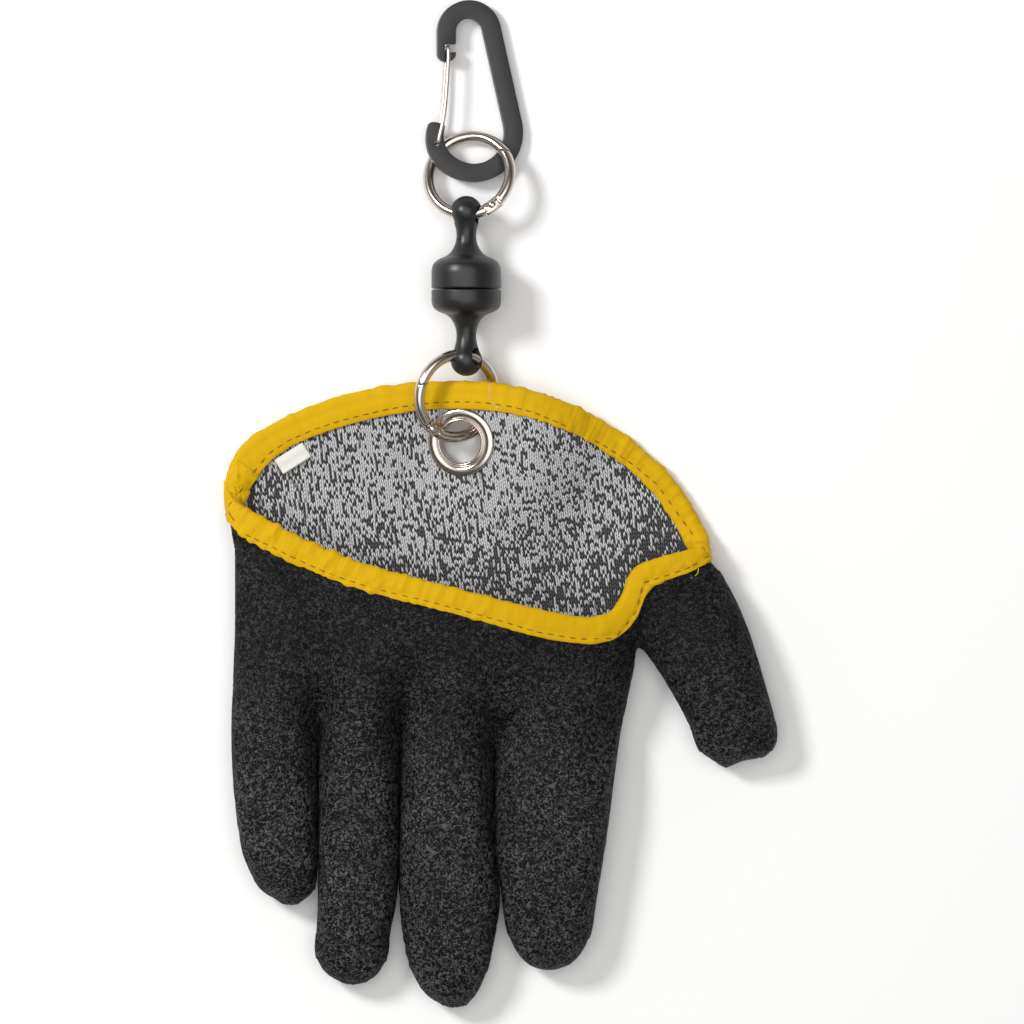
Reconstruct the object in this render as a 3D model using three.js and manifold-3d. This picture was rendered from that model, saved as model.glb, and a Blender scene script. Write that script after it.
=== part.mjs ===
// Fishing glove: a knit glove dipped in crinkled latex, with a bound cuff, an eyelet, a magnetic
// release between two spring-gate rings, and a wire-gate clip. It lies on its back, fingers towards
// -Y and clip towards +Y, with the open cuff facing up. Millimetres, +Z up.
import * as THREE from 'three';
import { mergeVertices } from 'three/addons/utils/BufferGeometryUtils.js';
import Module from 'manifold-3d';

const wasm = await Module();
wasm.setup();

// Driving sizes of the glove
const gloveLength = 182; // far rim to middle fingertip
const palmHalf = 58; // half the width over the knuckles
const gloveDepth = 24.5; // height of the near sheet over the palm
const fingerDepth = 19; // height of a finger
const coatWall = 1.0;
const linerWall = 1.0;
const clothGap = 0.3; // between two layers of cloth
const tapeWall = 1.1;
const foldSlack = 1.0; // between the cloth's edge and the tape's fold
const clearance = 0.3; // between a piece and its seat

// Eyelet and the patch of the far panel that it holds flat
const eyeletBore = 6.1; // radius
const eyeletBarrelWall = 0.5;
const eyeletFlange = 9.3; // radius
const eyeletFlangeWall = 0.5;
const eyeletBead = 0.6; // height of the raised ring over the flange
const washerRadius = 8.6;
const washerWall = 0.4;
const eyeletColumn = 10; // of the far panel
const eyeletHeight = 6.26; // middle of the panel's wall
const flangeGap = 0.346; // between the flange and the tape's hem
const panelSlope = { x: 0.28, y: 0.1 };
const flatReach = 17.6; // the panel is flat within this distance of the eyelet
const easeReach = 44; // and lies as the rest of it does from here on
const floorSlack = 0.3; // under the tape at its lowest

// Split rings
const ringRadius = 12.1; // middle of the wire
const ringWire = 1.6; // radius
const ringEar = 0.75; // wall of each ear at the hinge
const ringPin = 0.5; // radius
const ringSides = 8;

// Magnetic release
const discRadius = 10.1;
const shoulderRadius = 7.05;
const neckRadius = 2.85;
const ballRadius = 4.6;
const ballBore = 2.9; // radius of the hole through the ball
const upperLength = 26.8; // from the split face to the end of the ball
const lowerLength = 25;
const upperDisc = 6; // straight side of the upper half's disc
const lowerDisc = 4.2;
const upperShoulder = 3.4; // from the disc to the narrow end of the shoulder
const lowerShoulder = 3;
const boreShift = 0.7; // of the ball's hole, towards the neck

// Clip
const clipBand = 5.3;
const clipPlate = 3.2;
const clipBowl = 11.9; // radius of the middle of the big end
const clipCrown = 6.65; // radius of the middle of the small end
const clipReach = 28.9; // from the big end's centre to the small end's
const clipLean = 1.1; // sideways step between the two centres
const clipNose = 8.6; // straight length of the nose
const gateWire = 0.58; // radius
const gateSet = 0.3; // of the gate's bar, inwards from the middle of the nose
const gateDrop = 4.4; // and down from the small end's centre
const pivotAcross = 10.6; // from the big end's centre to the gate's pivot
const pivotDown = 3.3;

// The cuff's outline, as shares: across of palmHalf, up of gloveLength, rise of gloveDepth.
// Column 0 is the little finger's side, 16 the thumb crotch and 20 the thumb's side.
const edge = (column, across, up, rise) => ({ column, across, up, rise });
const nearRim = [
  edge(0, -0.995, 0.225, 0.44), edge(1, -0.92, 0.212, 0.53), edge(2, -0.8, 0.191, 0.62),
  edge(4, -0.55, 0.151, 0.75), edge(6, -0.3, 0.121, 0.87), edge(8, -0.065, 0.102, 0.94),
  edge(10, 0.145, 0.084, 0.97), edge(12, 0.37, 0.065, 0.97), edge(13, 0.55, 0.051, 0.94),
  edge(14, 0.75, 0.038, 0.89), edge(15, 0.885, 0.043, 0.8), edge(16, 0.938, 0.076, 0.7),
  edge(17, 0.975, 0.118, 0.64), edge(18, 1.085, 0.133, 0.62), edge(19, 1.195, 0.142, 0.57),
  edge(20, 1.31, 0.151, 0.46),
];
const nearHem = [
  edge(0, -1.01, 0.185, 0.52), edge(1, -0.94, 0.158, 0.6), edge(2, -0.835, 0.142, 0.68),
  edge(4, -0.585, 0.104, 0.8), edge(6, -0.335, 0.076, 0.9), edge(8, -0.09, 0.057, 0.96),
  edge(10, 0.12, 0.04, 0.99), edge(12, 0.345, 0.02, 0.99), edge(13, 0.5, 0.005, 0.96),
  edge(14, 0.71, -0.007, 0.91), edge(15, 0.9, -0.006, 0.8), edge(16, 1.02, 0.036, 0.66),
  edge(17, 1.06, 0.084, 0.64), edge(18, 1.165, 0.094, 0.62), edge(19, 1.285, 0.107, 0.57),
  edge(20, 1.36, 0.122, 0.46),
];
const nearSplit = [
  edge(0, -0.98, 0.134, 0.5), edge(2, -0.81, 0.106, 0.72), edge(4, -0.575, 0.076, 0.84),
  edge(8, -0.075, 0.029, 0.97), edge(12, 0.385, -0.008, 1.0), edge(14, 0.72, -0.032, 0.92),
  edge(15, 0.89, -0.024, 0.8), edge(16, 1.01, 0.004, 0.58), edge(17, 1.13, 0.041, 0.68),
  edge(18, 1.23, 0.057, 0.68), edge(19, 1.335, 0.073, 0.62), edge(20, 1.41, 0.094, 0.5),
];
const farRim = [
  edge(0, -1.02, 0.295, 0.066), edge(2, -0.885, 0.334, 0.066), edge(4, -0.65, 0.372, 0.066),
  edge(6, -0.375, 0.4, 0.066), edge(8, -0.11, 0.412, 0.066), edge(10, 0.14, 0.416, 0.066),
  edge(12, 0.39, 0.408, 0.066), edge(14, 0.65, 0.382, 0.066), edge(16, 0.925, 0.336, 0.066),
  edge(18, 1.19, 0.264, 0.066), edge(20, 1.35, 0.186, 0.13),
];
const farHem = [
  edge(0, -0.945, 0.232, 0.07), edge(2, -0.8, 0.291, 0.066), edge(4, -0.585, 0.326, 0.066),
  edge(6, -0.34, 0.349, 0.066), edge(8, -0.108, 0.364, 0.066), edge(10, 0.14, 0.369, 0.066),
  edge(12, 0.388, 0.361, 0.066), edge(14, 0.6, 0.338, 0.066), edge(16, 0.84, 0.299, 0.066),
  edge(18, 1.085, 0.242, 0.066), edge(19, 1.215, 0.185, 0.07), edge(20, 1.315, 0.143, 0.13),
];
const farSplit = [
  edge(0, -0.975, 0.159, 0.08), edge(1, -0.9, 0.15, 0.02), edge(2, -0.8, 0.143, 0),
  edge(4, -0.575, 0.127, 0), edge(8, -0.115, 0.088, 0), edge(12, 0.325, 0.056, 0),
  edge(15, 0.85, 0.02, 0), edge(16, 1.01, 0.004, 0.07), edge(17, 1.1, 0.03, 0),
  edge(18, 1.22, 0.05, 0), edge(19, 1.33, 0.08, 0.02), edge(20, 1.42, 0.104, 0.08),
];
// Knuckle row: the valleys between the fingers, with the web's lowest point in each
const knuckles = [
  { column: 0, across: -1.0, up: -0.104, near: 0.4, webUp: -0.104, web: 0.22, far: 0.08 },
  { column: 4, across: -0.57, up: -0.118, near: 0.46, webUp: -0.132, web: 0.27, far: 0.1 },
  { column: 8, across: -0.165, up: -0.122, near: 0.46, webUp: -0.136, web: 0.27, far: 0.1 },
  { column: 12, across: 0.302, up: -0.15, near: 0.42, webUp: -0.168, web: 0.26, far: 0.1 },
  { column: 16, across: 0.925, up: -0.131, near: 0.4, webUp: -0.131, web: 0.22, far: 0.08 },
];
const knuckleTop = [0, 0.7, 0.79, 0.7]; // rise at the columns between two valleys
const palmRows = [0.26, 0.53, 0.8]; // shares of the way from the split row to the knuckles
const farRows = [0.09, 0.18, 0.27, 0.37]; // and of the way from the hem to the split row
const sidePoints = {
  rimLeft: edge(0, -1.052, 0.252, 0.25), rimRight: edge(20, 1.36, 0.163, 0.29),
  hemLeft: edge(0, -1.03, 0.2, 0.3), hemRight: edge(20, 1.375, 0.124, 0.3),
  splitLeft: edge(0, -1.005, 0.14, 0.29), splitRight: edge(20, 1.435, 0.1, 0.28),
  thumbCrotch: edge(16, 1.014, -0.004, 0.3),
};
// Finger sections: the two sides' places, then depth and lift as shares of fingerDepth
const section = (left, leftUp, right, rightUp, depth, lift) =>
  ({ left, leftUp, right, rightUp, depth, lift });
const level = (left, right, up, depth, lift) => section(left, up, right, up, depth, lift);
const fingers = [
  [level(-1.005, -0.583, -0.2, 0.86, 0), level(-0.965, -0.584, -0.32, 0.84, 0),
    level(-0.9, -0.592, -0.383, 0.68, 0.06),
    level(-0.825, -0.62, -0.408, 0.5, 0.14), level(-0.76, -0.675, -0.417, 0.24, 0.24)],
  [level(-0.572, -0.178, -0.2, 0.92, 0), level(-0.575, -0.18, -0.385, 0.88, 0),
    level(-0.58, -0.223, -0.454, 0.8, 0.02),
    level(-0.593, -0.23, -0.494, 0.7, 0.05), level(-0.55, -0.27, -0.529, 0.5, 0.13),
    level(-0.475, -0.33, -0.544, 0.24, 0.23)],
  [level(-0.167, 0.294, -0.21, 0.98, 0), level(-0.171, 0.29, -0.32, 0.95, 0),
    level(-0.171, 0.326, -0.4, 0.92, 0), level(-0.155, 0.302, -0.462, 0.86, 0.01),
    level(-0.12, 0.268, -0.519, 0.74, 0.05), level(-0.055, 0.215, -0.561, 0.52, 0.13),
    level(0.03, 0.165, -0.58, 0.24, 0.24)],
  [level(0.308, 0.897, -0.21, 0.98, 0), level(0.305, 0.853, -0.32, 0.96, 0),
    level(0.34, 0.81, -0.4, 0.92, 0), level(0.36, 0.787, -0.454, 0.84, 0.02),
    level(0.41, 0.74, -0.497, 0.7, 0.06), level(0.485, 0.66, -0.521, 0.42, 0.16)],
];
const thumb = [
  section(1.115, -0.044, 1.545, 0.034, 0.9, 0), section(1.26, -0.122, 1.642, -0.066, 0.88, 0),
  section(1.31, -0.166, 1.694, -0.125, 0.78, 0.02),
  section(1.36, -0.187, 1.71, -0.159, 0.62, 0.08), section(1.445, -0.199, 1.655, -0.185, 0.34, 0.18),
];
// A finger's cross-section: side to side from -1 to 1, height from -1 at the floor to 1 on top
const fingerArch = [[-0.9, 0.5], [-0.55, 0.9], [0, 1], [0.55, 0.9], [0.9, 0.5]];
const fingerSole = [[-0.9, -0.72], [-0.5, -1], [0, -1], [0.5, -1], [0.9, -0.72]];
const perFinger = 4; // columns to a finger
const crotchColumn = 16;
const lastColumn = 20;

// Places in the glove
const point = ({ across, up, rise }) =>
  new THREE.Vector3(across * palmHalf, up * gloveLength, rise * gloveDepth);

const smooth = (t) => t * t * (3 - 2 * t);

// A value between a table's rows, on a curve through them
function between(table, column, key) {
  const last = table.length - 1;
  let i = 0;
  while (i < last - 1 && table[i + 1].column < column) i += 1;
  const slope = (k) => {
    const a = table[Math.max(k - 1, 0)];
    const b = table[Math.min(k + 1, last)];
    return (b[key] - a[key]) / (b.column - a.column);
  };
  const [from, to] = [table[i], table[i + 1]];
  const width = to.column - from.column;
  const t = (column - from.column) / width;
  const ease = smooth(t);
  const start = (t - 2 * t * t + t ** 3) * width * slope(i);
  const end = (t ** 3 - t * t) * width * slope(i + 1);
  return from[key] * (1 - ease) + to[key] * ease + start + end;
}

const edgePoint = (table, column) => point({
  across: between(table, column, 'across'),
  up: between(table, column, 'up'),
  rise: Math.max(between(table, column, 'rise'), 0),
});

// The flat patch round the eyelet
const wall = coatWall + clothGap + linerWall;
const patchNormal = new THREE.Vector3(-panelSlope.x, -panelSlope.y, 1).normalize();
const eyeletCentre = edgePoint(farHem, eyeletColumn)
  .add(new THREE.Vector3(0, -eyeletFlange - flangeGap, 0)).setZ(eyeletHeight);
const patchBottom = eyeletCentre.clone().addScaledVector(patchNormal, -wall / 2);
const patchHeight = (x, y) =>
  patchBottom.z + panelSlope.x * (x - patchBottom.x) + panelSlope.y * (y - patchBottom.y);

function liftToPatch(p) {
  const distance = Math.hypot(p.x - eyeletCentre.x, p.y - eyeletCentre.y);
  const t = THREE.MathUtils.clamp((distance - flatReach) / (easeReach - flatReach), 0, 1);
  const patch = patchHeight(p.x, p.y);
  const blended = patch + (p.z - patch) * smooth(t);
  const lowest = Math.min(p.z, clearance + tapeWall + floorSlack);
  p.z = distance < flatReach ? patch : Math.max(blended, lowest);
  return p;
}

// Outer surface of the hand, as named vertices and four-sided faces
const surface = { points: [], names: new Map(), faces: [] };

function vertex(name, place) {
  if (!surface.names.has(name)) {
    const p = place();
    surface.names.set(name, surface.points.length);
    surface.points.push(p);
  }
  return surface.names.get(name);
}

const rimRow = 0;
const hemRow = 1;
const splitRow = hemRow + farRows.length + 1;

// The tables give the tape's outer edge, and the cloth's rim lies inside its fold
const tapeFold = clearance + foldSlack + tapeWall;
const insideTape = (rim, hem) => rim.addScaledVector(hem.clone().sub(rim).normalize(), tapeFold);

function cuffPoint(row, side, column) {
  const tables = side === 'near' ? [nearRim, nearHem, nearSplit] : [farRim, farHem, farSplit];
  const rim = edgePoint(tables[0], column);
  const hem = edgePoint(tables[1], column);
  const split = edgePoint(tables[2], column);
  insideTape(rim, hem);
  if (row === rimRow) return rim;
  if (row === splitRow) return split;
  const t = row === hemRow ? 0 : farRows[row - hemRow - 1];
  return hem.lerp(split, side === 'near' ? (row - hemRow) / (splitRow - hemRow) : t);
}

function cuffVertex(row, side, column) {
  return vertex(`cuff ${row} ${side} ${column}`, () => {
    const p = cuffPoint(row, side, column);
    return side === 'far' && row < splitRow ? liftToPatch(p) : p;
  });
}

function cuffSide(row, side) {
  const [rim, hem, split] = ['rim', 'hem', 'split'].map((name) => point(sidePoints[name + side]));
  insideTape(rim, hem);
  return vertex(`cuff ${row} ${side}`, () => {
    if (row === rimRow) return rim;
    return hem.lerp(split, (row - hemRow) / (splitRow - hemRow));
  });
}

const span = (from, to) =>
  Array.from({ length: Math.abs(to - from) + 1 }, (_, i) => from + Math.sign(to - from) * i);

const cuffLoop = (row) => [
  ...span(0, lastColumn).map((c) => cuffVertex(row, 'near', c)), cuffSide(row, 'Right'),
  ...span(lastColumn, 0).map((c) => cuffVertex(row, 'far', c)), cuffSide(row, 'Left'),
];

function addTube(loops, skip = () => false) {
  for (let row = 0; row + 1 < loops.length; row += 1) {
    const [a, b] = [loops[row], loops[row + 1]];
    a.forEach((_, i) => {
      const j = (i + 1) % a.length;
      if (!skip(row, i)) surface.faces.push([a[i], b[i], b[j], a[j]]);
    });
  }
}

// Cuff, with an opening for the eyelet in the far sheet
const holeColumns = [8, 12];
const holeRows = [hemRow, hemRow + 4];
const farIndex = (column) => 2 * lastColumn + 2 - column; // a far column's place in a cuff loop
const inHole = (row, i) => row >= holeRows[0] && row < holeRows[1]
  && i >= farIndex(holeColumns[1]) && i < farIndex(holeColumns[0]);
addTube(span(rimRow, splitRow).map(cuffLoop), inHole);

const holeEdge = [
  ...span(...holeColumns).map((c) => cuffVertex(holeRows[0], 'far', c)),
  ...span(holeRows[0] + 1, holeRows[1] - 1).map((r) => cuffVertex(r, 'far', holeColumns[1])),
  ...span(...holeColumns).reverse().map((c) => cuffVertex(holeRows[1], 'far', c)),
  ...span(holeRows[1] - 1, holeRows[0] + 1).map((r) => cuffVertex(r, 'far', holeColumns[0])),
];
const patchTurn = new THREE.Quaternion().setFromUnitVectors(new THREE.Vector3(0, 0, 1), patchNormal);
const holeRadius = eyeletBore + eyeletBarrelWall + clearance;
const holeLoop = (radius) => holeEdge.map((_, i) => vertex(`hole ${radius} ${i}`, () => {
  const angle = 0.75 * Math.PI - (2 * Math.PI * i) / holeEdge.length;
  const spoke = new THREE.Vector3(Math.cos(angle), Math.sin(angle), 0).multiplyScalar(radius);
  return spoke.applyQuaternion(patchTurn).add(patchBottom);
}));
addTube([holeLoop(holeRadius), holeEdge]);

// Palm, from the split row to the knuckles
const knuckleRow = palmRows.length + 1;

function knucklePoint(side, column) {
  const i = Math.floor(column / perFinger);
  const t = column / perFinger - i;
  const [a, b] = [knuckles[i], knuckles[Math.min(i + 1, knuckles.length - 1)]];
  const valley = a[side] + (b[side] - a[side]) * t;
  const top = side === 'near' ? knuckleTop[column % perFinger] : 0;
  return point({
    across: a.across + (b.across - a.across) * t,
    up: a.up + (b.up - a.up) * t,
    rise: column % perFinger === 0 ? valley : top,
  });
}

function palmVertex(row, side, column) {
  if (row === 0) return cuffVertex(splitRow, side, column);
  return vertex(`palm ${row} ${side} ${column}`, () => {
    const [from, to] = [cuffPoint(splitRow, side, column), knucklePoint(side, column)];
    const t = row === knuckleRow ? 1 : palmRows[row - 1];
    const p = from.clone().lerp(to, t);
    p.z = from.z + (to.z - from.z) * t ** 1.4;
    return p;
  });
}

const web = (i) => vertex(`web ${i}`, () =>
  point({ across: knuckles[i].across, up: knuckles[i].webUp, rise: knuckles[i].web }));
const crotch = () => vertex('thumb crotch', () => point(sidePoints.thumbCrotch));
const webSides = { Left: [() => cuffSide(splitRow, 'Left'), 0], Right: [crotch, knuckles.length - 1] };

function palmSide(row, side) {
  const [start, end] = webSides[side];
  if (row === 0) return start();
  if (row === knuckleRow) return web(end);
  return vertex(`palm ${row} ${side}`, () =>
    surface.points[start()].clone().lerp(surface.points[web(end)], palmRows[row - 1]));
}

addTube(span(0, knuckleRow).map((row) => [
  ...span(0, crotchColumn).map((c) => palmVertex(row, 'near', c)), palmSide(row, 'Right'),
  ...span(crotchColumn, 0).map((c) => palmVertex(row, 'far', c)), palmSide(row, 'Left'),
]));

// Fingers and thumb, each closed by faces across its last section
function addFinger(name, root, sections) {
  const loops = sections.map((row, r) => {
    const left = point({ across: row.left, up: row.leftUp, rise: 0 });
    const right = point({ across: row.right, up: row.rightUp, rise: 0 });
    const middle = left.clone().lerp(right, 0.5);
    const half = right.sub(left).multiplyScalar(0.5);
    const radius = (row.depth * fingerDepth) / 2;
    const at = (key, [side, height]) => vertex(`${name} ${r} ${key}`, () => {
      const p = middle.clone().addScaledVector(half, side);
      p.z = row.lift * fingerDepth + radius * (1 + height);
      return p;
    });
    return [
      ...fingerArch.map((s, i) => at(`near ${i}`, s)), at('right', [1, -0.12]),
      ...fingerSole.map((s, i) => at(`far ${i}`, s)).reverse(), at('left', [-1, -0.12]),
    ];
  });
  addTube([root, ...loops]);
  const tip = loops.at(-1);
  const far = (i) => tip[2 * perFinger + 2 - i];
  span(0, perFinger - 1).forEach((i) => surface.faces.push([tip[i], far(i), far(i + 1), tip[i + 1]]));
  surface.faces.push([tip[perFinger], far(perFinger), tip[perFinger + 1]]);
  surface.faces.push([tip[0], tip.at(-1), far(0)]);
}

fingers.forEach((sections, i) => {
  const columns = span(i * perFinger, (i + 1) * perFinger);
  addFinger(`finger ${i}`, [
    ...columns.map((c) => palmVertex(knuckleRow, 'near', c)), web(i + 1),
    ...columns.reverse().map((c) => palmVertex(knuckleRow, 'far', c)), web(i),
  ], sections);
});
const thumbColumns = span(crotchColumn, lastColumn);
addFinger('thumb', [
  ...thumbColumns.map((c) => cuffVertex(splitRow, 'near', c)), cuffSide(splitRow, 'Right'),
  ...thumbColumns.reverse().map((c) => cuffVertex(splitRow, 'far', c)), crotch(),
], thumb);

// Outward step at each vertex that keeps a wall's thickness on the faces around it
const faceNormal = (face) => {
  const [a, b, c, d] = face.map((i) => surface.points[i]);
  const [from, to] = d ? [c.clone().sub(a), d.clone().sub(b)] : [b.clone().sub(a), c.clone().sub(a)];
  return from.cross(to).normalize();
};
const around = surface.points.map(() => []);
surface.faces.forEach((face) => {
  const normal = faceNormal(face);
  face.forEach((i) => around[i].push(normal));
});
const normals = around.map((list) => {
  const mean = list.reduce((sum, n) => sum.add(n), new THREE.Vector3()).normalize();
  const lean = list.reduce((sum, n) => sum + n.dot(mean), 0) / Math.max(list.length, 1);
  return mean.divideScalar(Math.max(lean, 0.7));
});

const raised = (i, distance) => surface.points[i].clone().addScaledVector(normals[i], distance);

function geometryOf(points, faces) {
  const geometry = new THREE.BufferGeometry();
  geometry.setAttribute('position', new THREE.Float32BufferAttribute(points.flatMap((p) => p.toArray()), 3));
  geometry.setIndex(faces.flatMap(([a, b, c, d]) => (d === undefined ? [a, b, c] : [a, b, c, a, c, d])));
  return geometry;
}

// A wall between two distances from the surface, closed along the rim and the eyelet's hole
function clothShell(outer, inner) {
  const used = [...new Set(surface.faces.flat())];
  const place = new Map(used.map((v, i) => [v, i]));
  const points = [...used.map((v) => raised(v, outer)), ...used.map((v) => raised(v, inner))];
  const outside = surface.faces.map((face) => face.map((v) => place.get(v)));
  const inside = outside.map(([first, ...rest]) => [first, ...rest.reverse()].map((v) => v + used.length));
  const edges = new Set(outside.flatMap((f) => f.map((v, i) => `${v} ${f[(i + 1) % f.length]}`)));
  const open = [...edges].map((e) => e.split(' ').map(Number)).filter(([a, b]) => !edges.has(`${b} ${a}`));
  const strips = open.map(([a, b]) => [b, a, a + used.length, b + used.length]);
  return geometryOf(points, [...outside, ...inside, ...strips]);
}

// The tape folded over the rim
const foldShare = 0.55; // of the tape's thickness, where its rounded edge turns
const foldRound = 0.8; // 1 is a half circle and 0 is square

function tapeGeometry() {
  const rows = span(rimRow, hemRow).map(cuffLoop);
  const out = [clearance, clearance + tapeWall];
  const under = out.map((d) => -wall - d);
  const upward = rows[rimRow].map((rim, i) =>
    surface.points[rim].clone().sub(surface.points[rows[hemRow][i]]).normalize());
  const profile = (column) => {
    const at = (row, distance) => raised(rows[row][column], distance);
    const edgeUp = [-1, 0, 0, 1].reduce((sum, step) =>
      sum.add(upward[(column + step + upward.length) % upward.length]), new THREE.Vector3()).normalize();
    const crest = (reach, share) => at(rimRow, -wall / 2 + (wall / 2 + out[1]) * share)
      .addScaledVector(edgeUp, reach * Math.sqrt(1 - foldRound * share * share));
    return [
      at(hemRow, out[1]), at(rimRow, out[1]), crest(tapeFold, foldShare), crest(tapeFold, -foldShare),
      at(rimRow, under[1]), at(hemRow, under[1]),
      at(hemRow, under[0]), at(rimRow, under[0]), crest(tapeFold - tapeWall, 0),
      at(rimRow, out[0]), at(hemRow, out[0]),
    ];
  };
  const hemCorners = [0, 6]; // from these the profile runs up to the rim: faces part as the cloth's do
  const foldCorners = [7, 8]; // from these it runs over the cloth's edge, mirrored from side to side
  const loops = rows[0].map((_, i) => profile(i));
  const sides = loops[0].length;
  const faces = loops.flatMap((_, i) => loops[0].map((__, k) => {
    const [j, l] = [(i + 1) % loops.length, (k + 1) % sides];
    const face = [i * sides + k, j * sides + k, j * sides + l, i * sides + l];
    const turned = foldCorners.includes(k) ? i <= lastColumn + 1 : hemCorners.includes(k);
    return turned ? [...face.slice(1), face[0]] : face;
  }));
  return geometryOf(loops.flat(), faces);
}

// Solids
function toManifold(geometry) {
  const bare = geometry.clone();
  bare.deleteAttribute('normal');
  bare.deleteAttribute('uv');
  const merged = mergeVertices(bare, 1e-4);
  return new wasm.Manifold(new wasm.Mesh({
    numProp: 3,
    vertProperties: new Float32Array(merged.attributes.position.array),
    triVerts: new Uint32Array(merged.index.array),
  }));
}

function fromManifold(solid) {
  const mesh = solid.getMesh();
  const geometry = new THREE.BufferGeometry();
  geometry.setAttribute('position', new THREE.BufferAttribute(new Float32Array(mesh.vertProperties), 3));
  geometry.setIndex(new THREE.BufferAttribute(new Uint32Array(mesh.triVerts), 1));
  return geometry;
}

const cut = (geometry, ...tools) => fromManifold(
  tools.reduce((solid, tool) => solid.subtract(toManifold(tool)), toManifold(geometry)),
);
const fuse = (geometry, ...others) => fromManifold(
  others.reduce((solid, other) => solid.add(toManifold(other)), toManifold(geometry)),
);

function material(color, roughness, metalness) {
  return new THREE.MeshStandardMaterial({ color, roughness, metalness });
}
const latex = material('#262626', 0.75, 0);
const knit = material('#a9a9a8', 0.95, 0);
const tape = material('#e2b21c', 0.8, 0);
const label = material('#e9e7e2', 0.7, 0);
const nickel = material('#cfc4bb', 0.22, 1);
const blackPlastic = material('#38383a', 0.42, 0);
const blackAnodised = material('#2f3032', 0.38, 0.6);

function piece(name, geometry, finish) {
  const made = new THREE.Mesh(geometry, finish);
  made.name = name;
  return made;
}

// Eyelet: a flange with a bead and a barrel through the panel, and a washer behind it
const lathe = (profile, segments) =>
  new THREE.LatheGeometry(profile.map(([r, z]) => new THREE.Vector2(r, z)), segments).rotateX(Math.PI / 2);

function eyeletFlangeGeometry() {
  const seat = wall / 2 + clearance;
  const top = seat + eyeletFlangeWall;
  const outer = eyeletBore + eyeletBarrelWall;
  const end = -(wall / 2 + clearance + washerWall);
  return lathe([
    [eyeletBore, end], [outer, end], [outer, seat], [eyeletFlange, seat],
    [eyeletFlange, top - 0.15], [eyeletFlange - 0.5, top], [eyeletBore + 1.6, top],
    [eyeletBore + 1.1, top + eyeletBead], [eyeletBore + 0.35, top + eyeletBead],
    [eyeletBore, top + eyeletBead / 2], [eyeletBore, end],
  ], 24);
}

function eyeletWasherGeometry() {
  const seat = -(wall / 2 + clearance);
  const inner = eyeletBore + eyeletBarrelWall + clearance;
  return lathe([
    [inner, seat - washerWall], [washerRadius, seat - washerWall], [washerRadius, seat],
    [inner, seat], [inner, seat - washerWall],
  ], 24);
}

const eyeletGroup = new THREE.Group();
eyeletGroup.position.copy(eyeletCentre);
eyeletGroup.quaternion.copy(patchTurn);
eyeletGroup.add(
  piece('eyelet_flange', eyeletFlangeGeometry(), nickel),
  piece('eyelet_washer', eyeletWasherGeometry(), nickel),
);

// Label tab on the liner, just below the tape
const labelWall = 0.5;
const labelWidth = 9.6;
const labelDrop = 4.9;
const labelColumn = 1.95;
const labelStep = 0.6; // from the tape's edge

function labelGeometry() {
  const hem = (c) => liftToPatch(edgePoint(farHem, c));
  const [from, to] = [hem(labelColumn), hem(labelColumn + 1)];
  const across = to.clone().sub(from).setZ(0).normalize();
  const down = new THREE.Vector3(across.y, -across.x, 0);
  const base = from.clone().addScaledVector(down, labelStep);
  base.z = from.z + wall + clearance;
  const shape = new THREE.Shape([
    new THREE.Vector2(0, 0), new THREE.Vector2(0, -labelDrop),
    new THREE.Vector2(labelWidth, -labelDrop), new THREE.Vector2(labelWidth, 0),
  ]);
  const tab = new THREE.ExtrudeGeometry(shape, { depth: labelWall, bevelEnabled: false });
  return tab.rotateZ(Math.atan2(across.y, across.x)).translate(base.x, base.y, base.z);
}

// Split rings: a bent wire with a fork at the hinge, and a gate with a tongue in the fork
class Arc extends THREE.Curve {
  constructor(radius, from, to) {
    super();
    Object.assign(this, { radius, from, to });
  }

  getPoint(t) {
    const angle = this.from + (this.to - this.from) * t;
    return new THREE.Vector3(Math.cos(angle), Math.sin(angle), 0).multiplyScalar(this.radius);
  }
}

function wireGeometry(curve, radius, sides, steps) {
  const round = new THREE.Shape(span(0, sides - 1).map((i) => {
    const angle = ((i + 0.5) * 2 * Math.PI) / sides;
    return new THREE.Vector2(radius * Math.cos(angle), radius * Math.sin(angle));
  }));
  return new THREE.ExtrudeGeometry(round, { steps, extrudePath: curve, bevelEnabled: false });
}

const degrees = THREE.MathUtils.degToRad;

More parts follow.
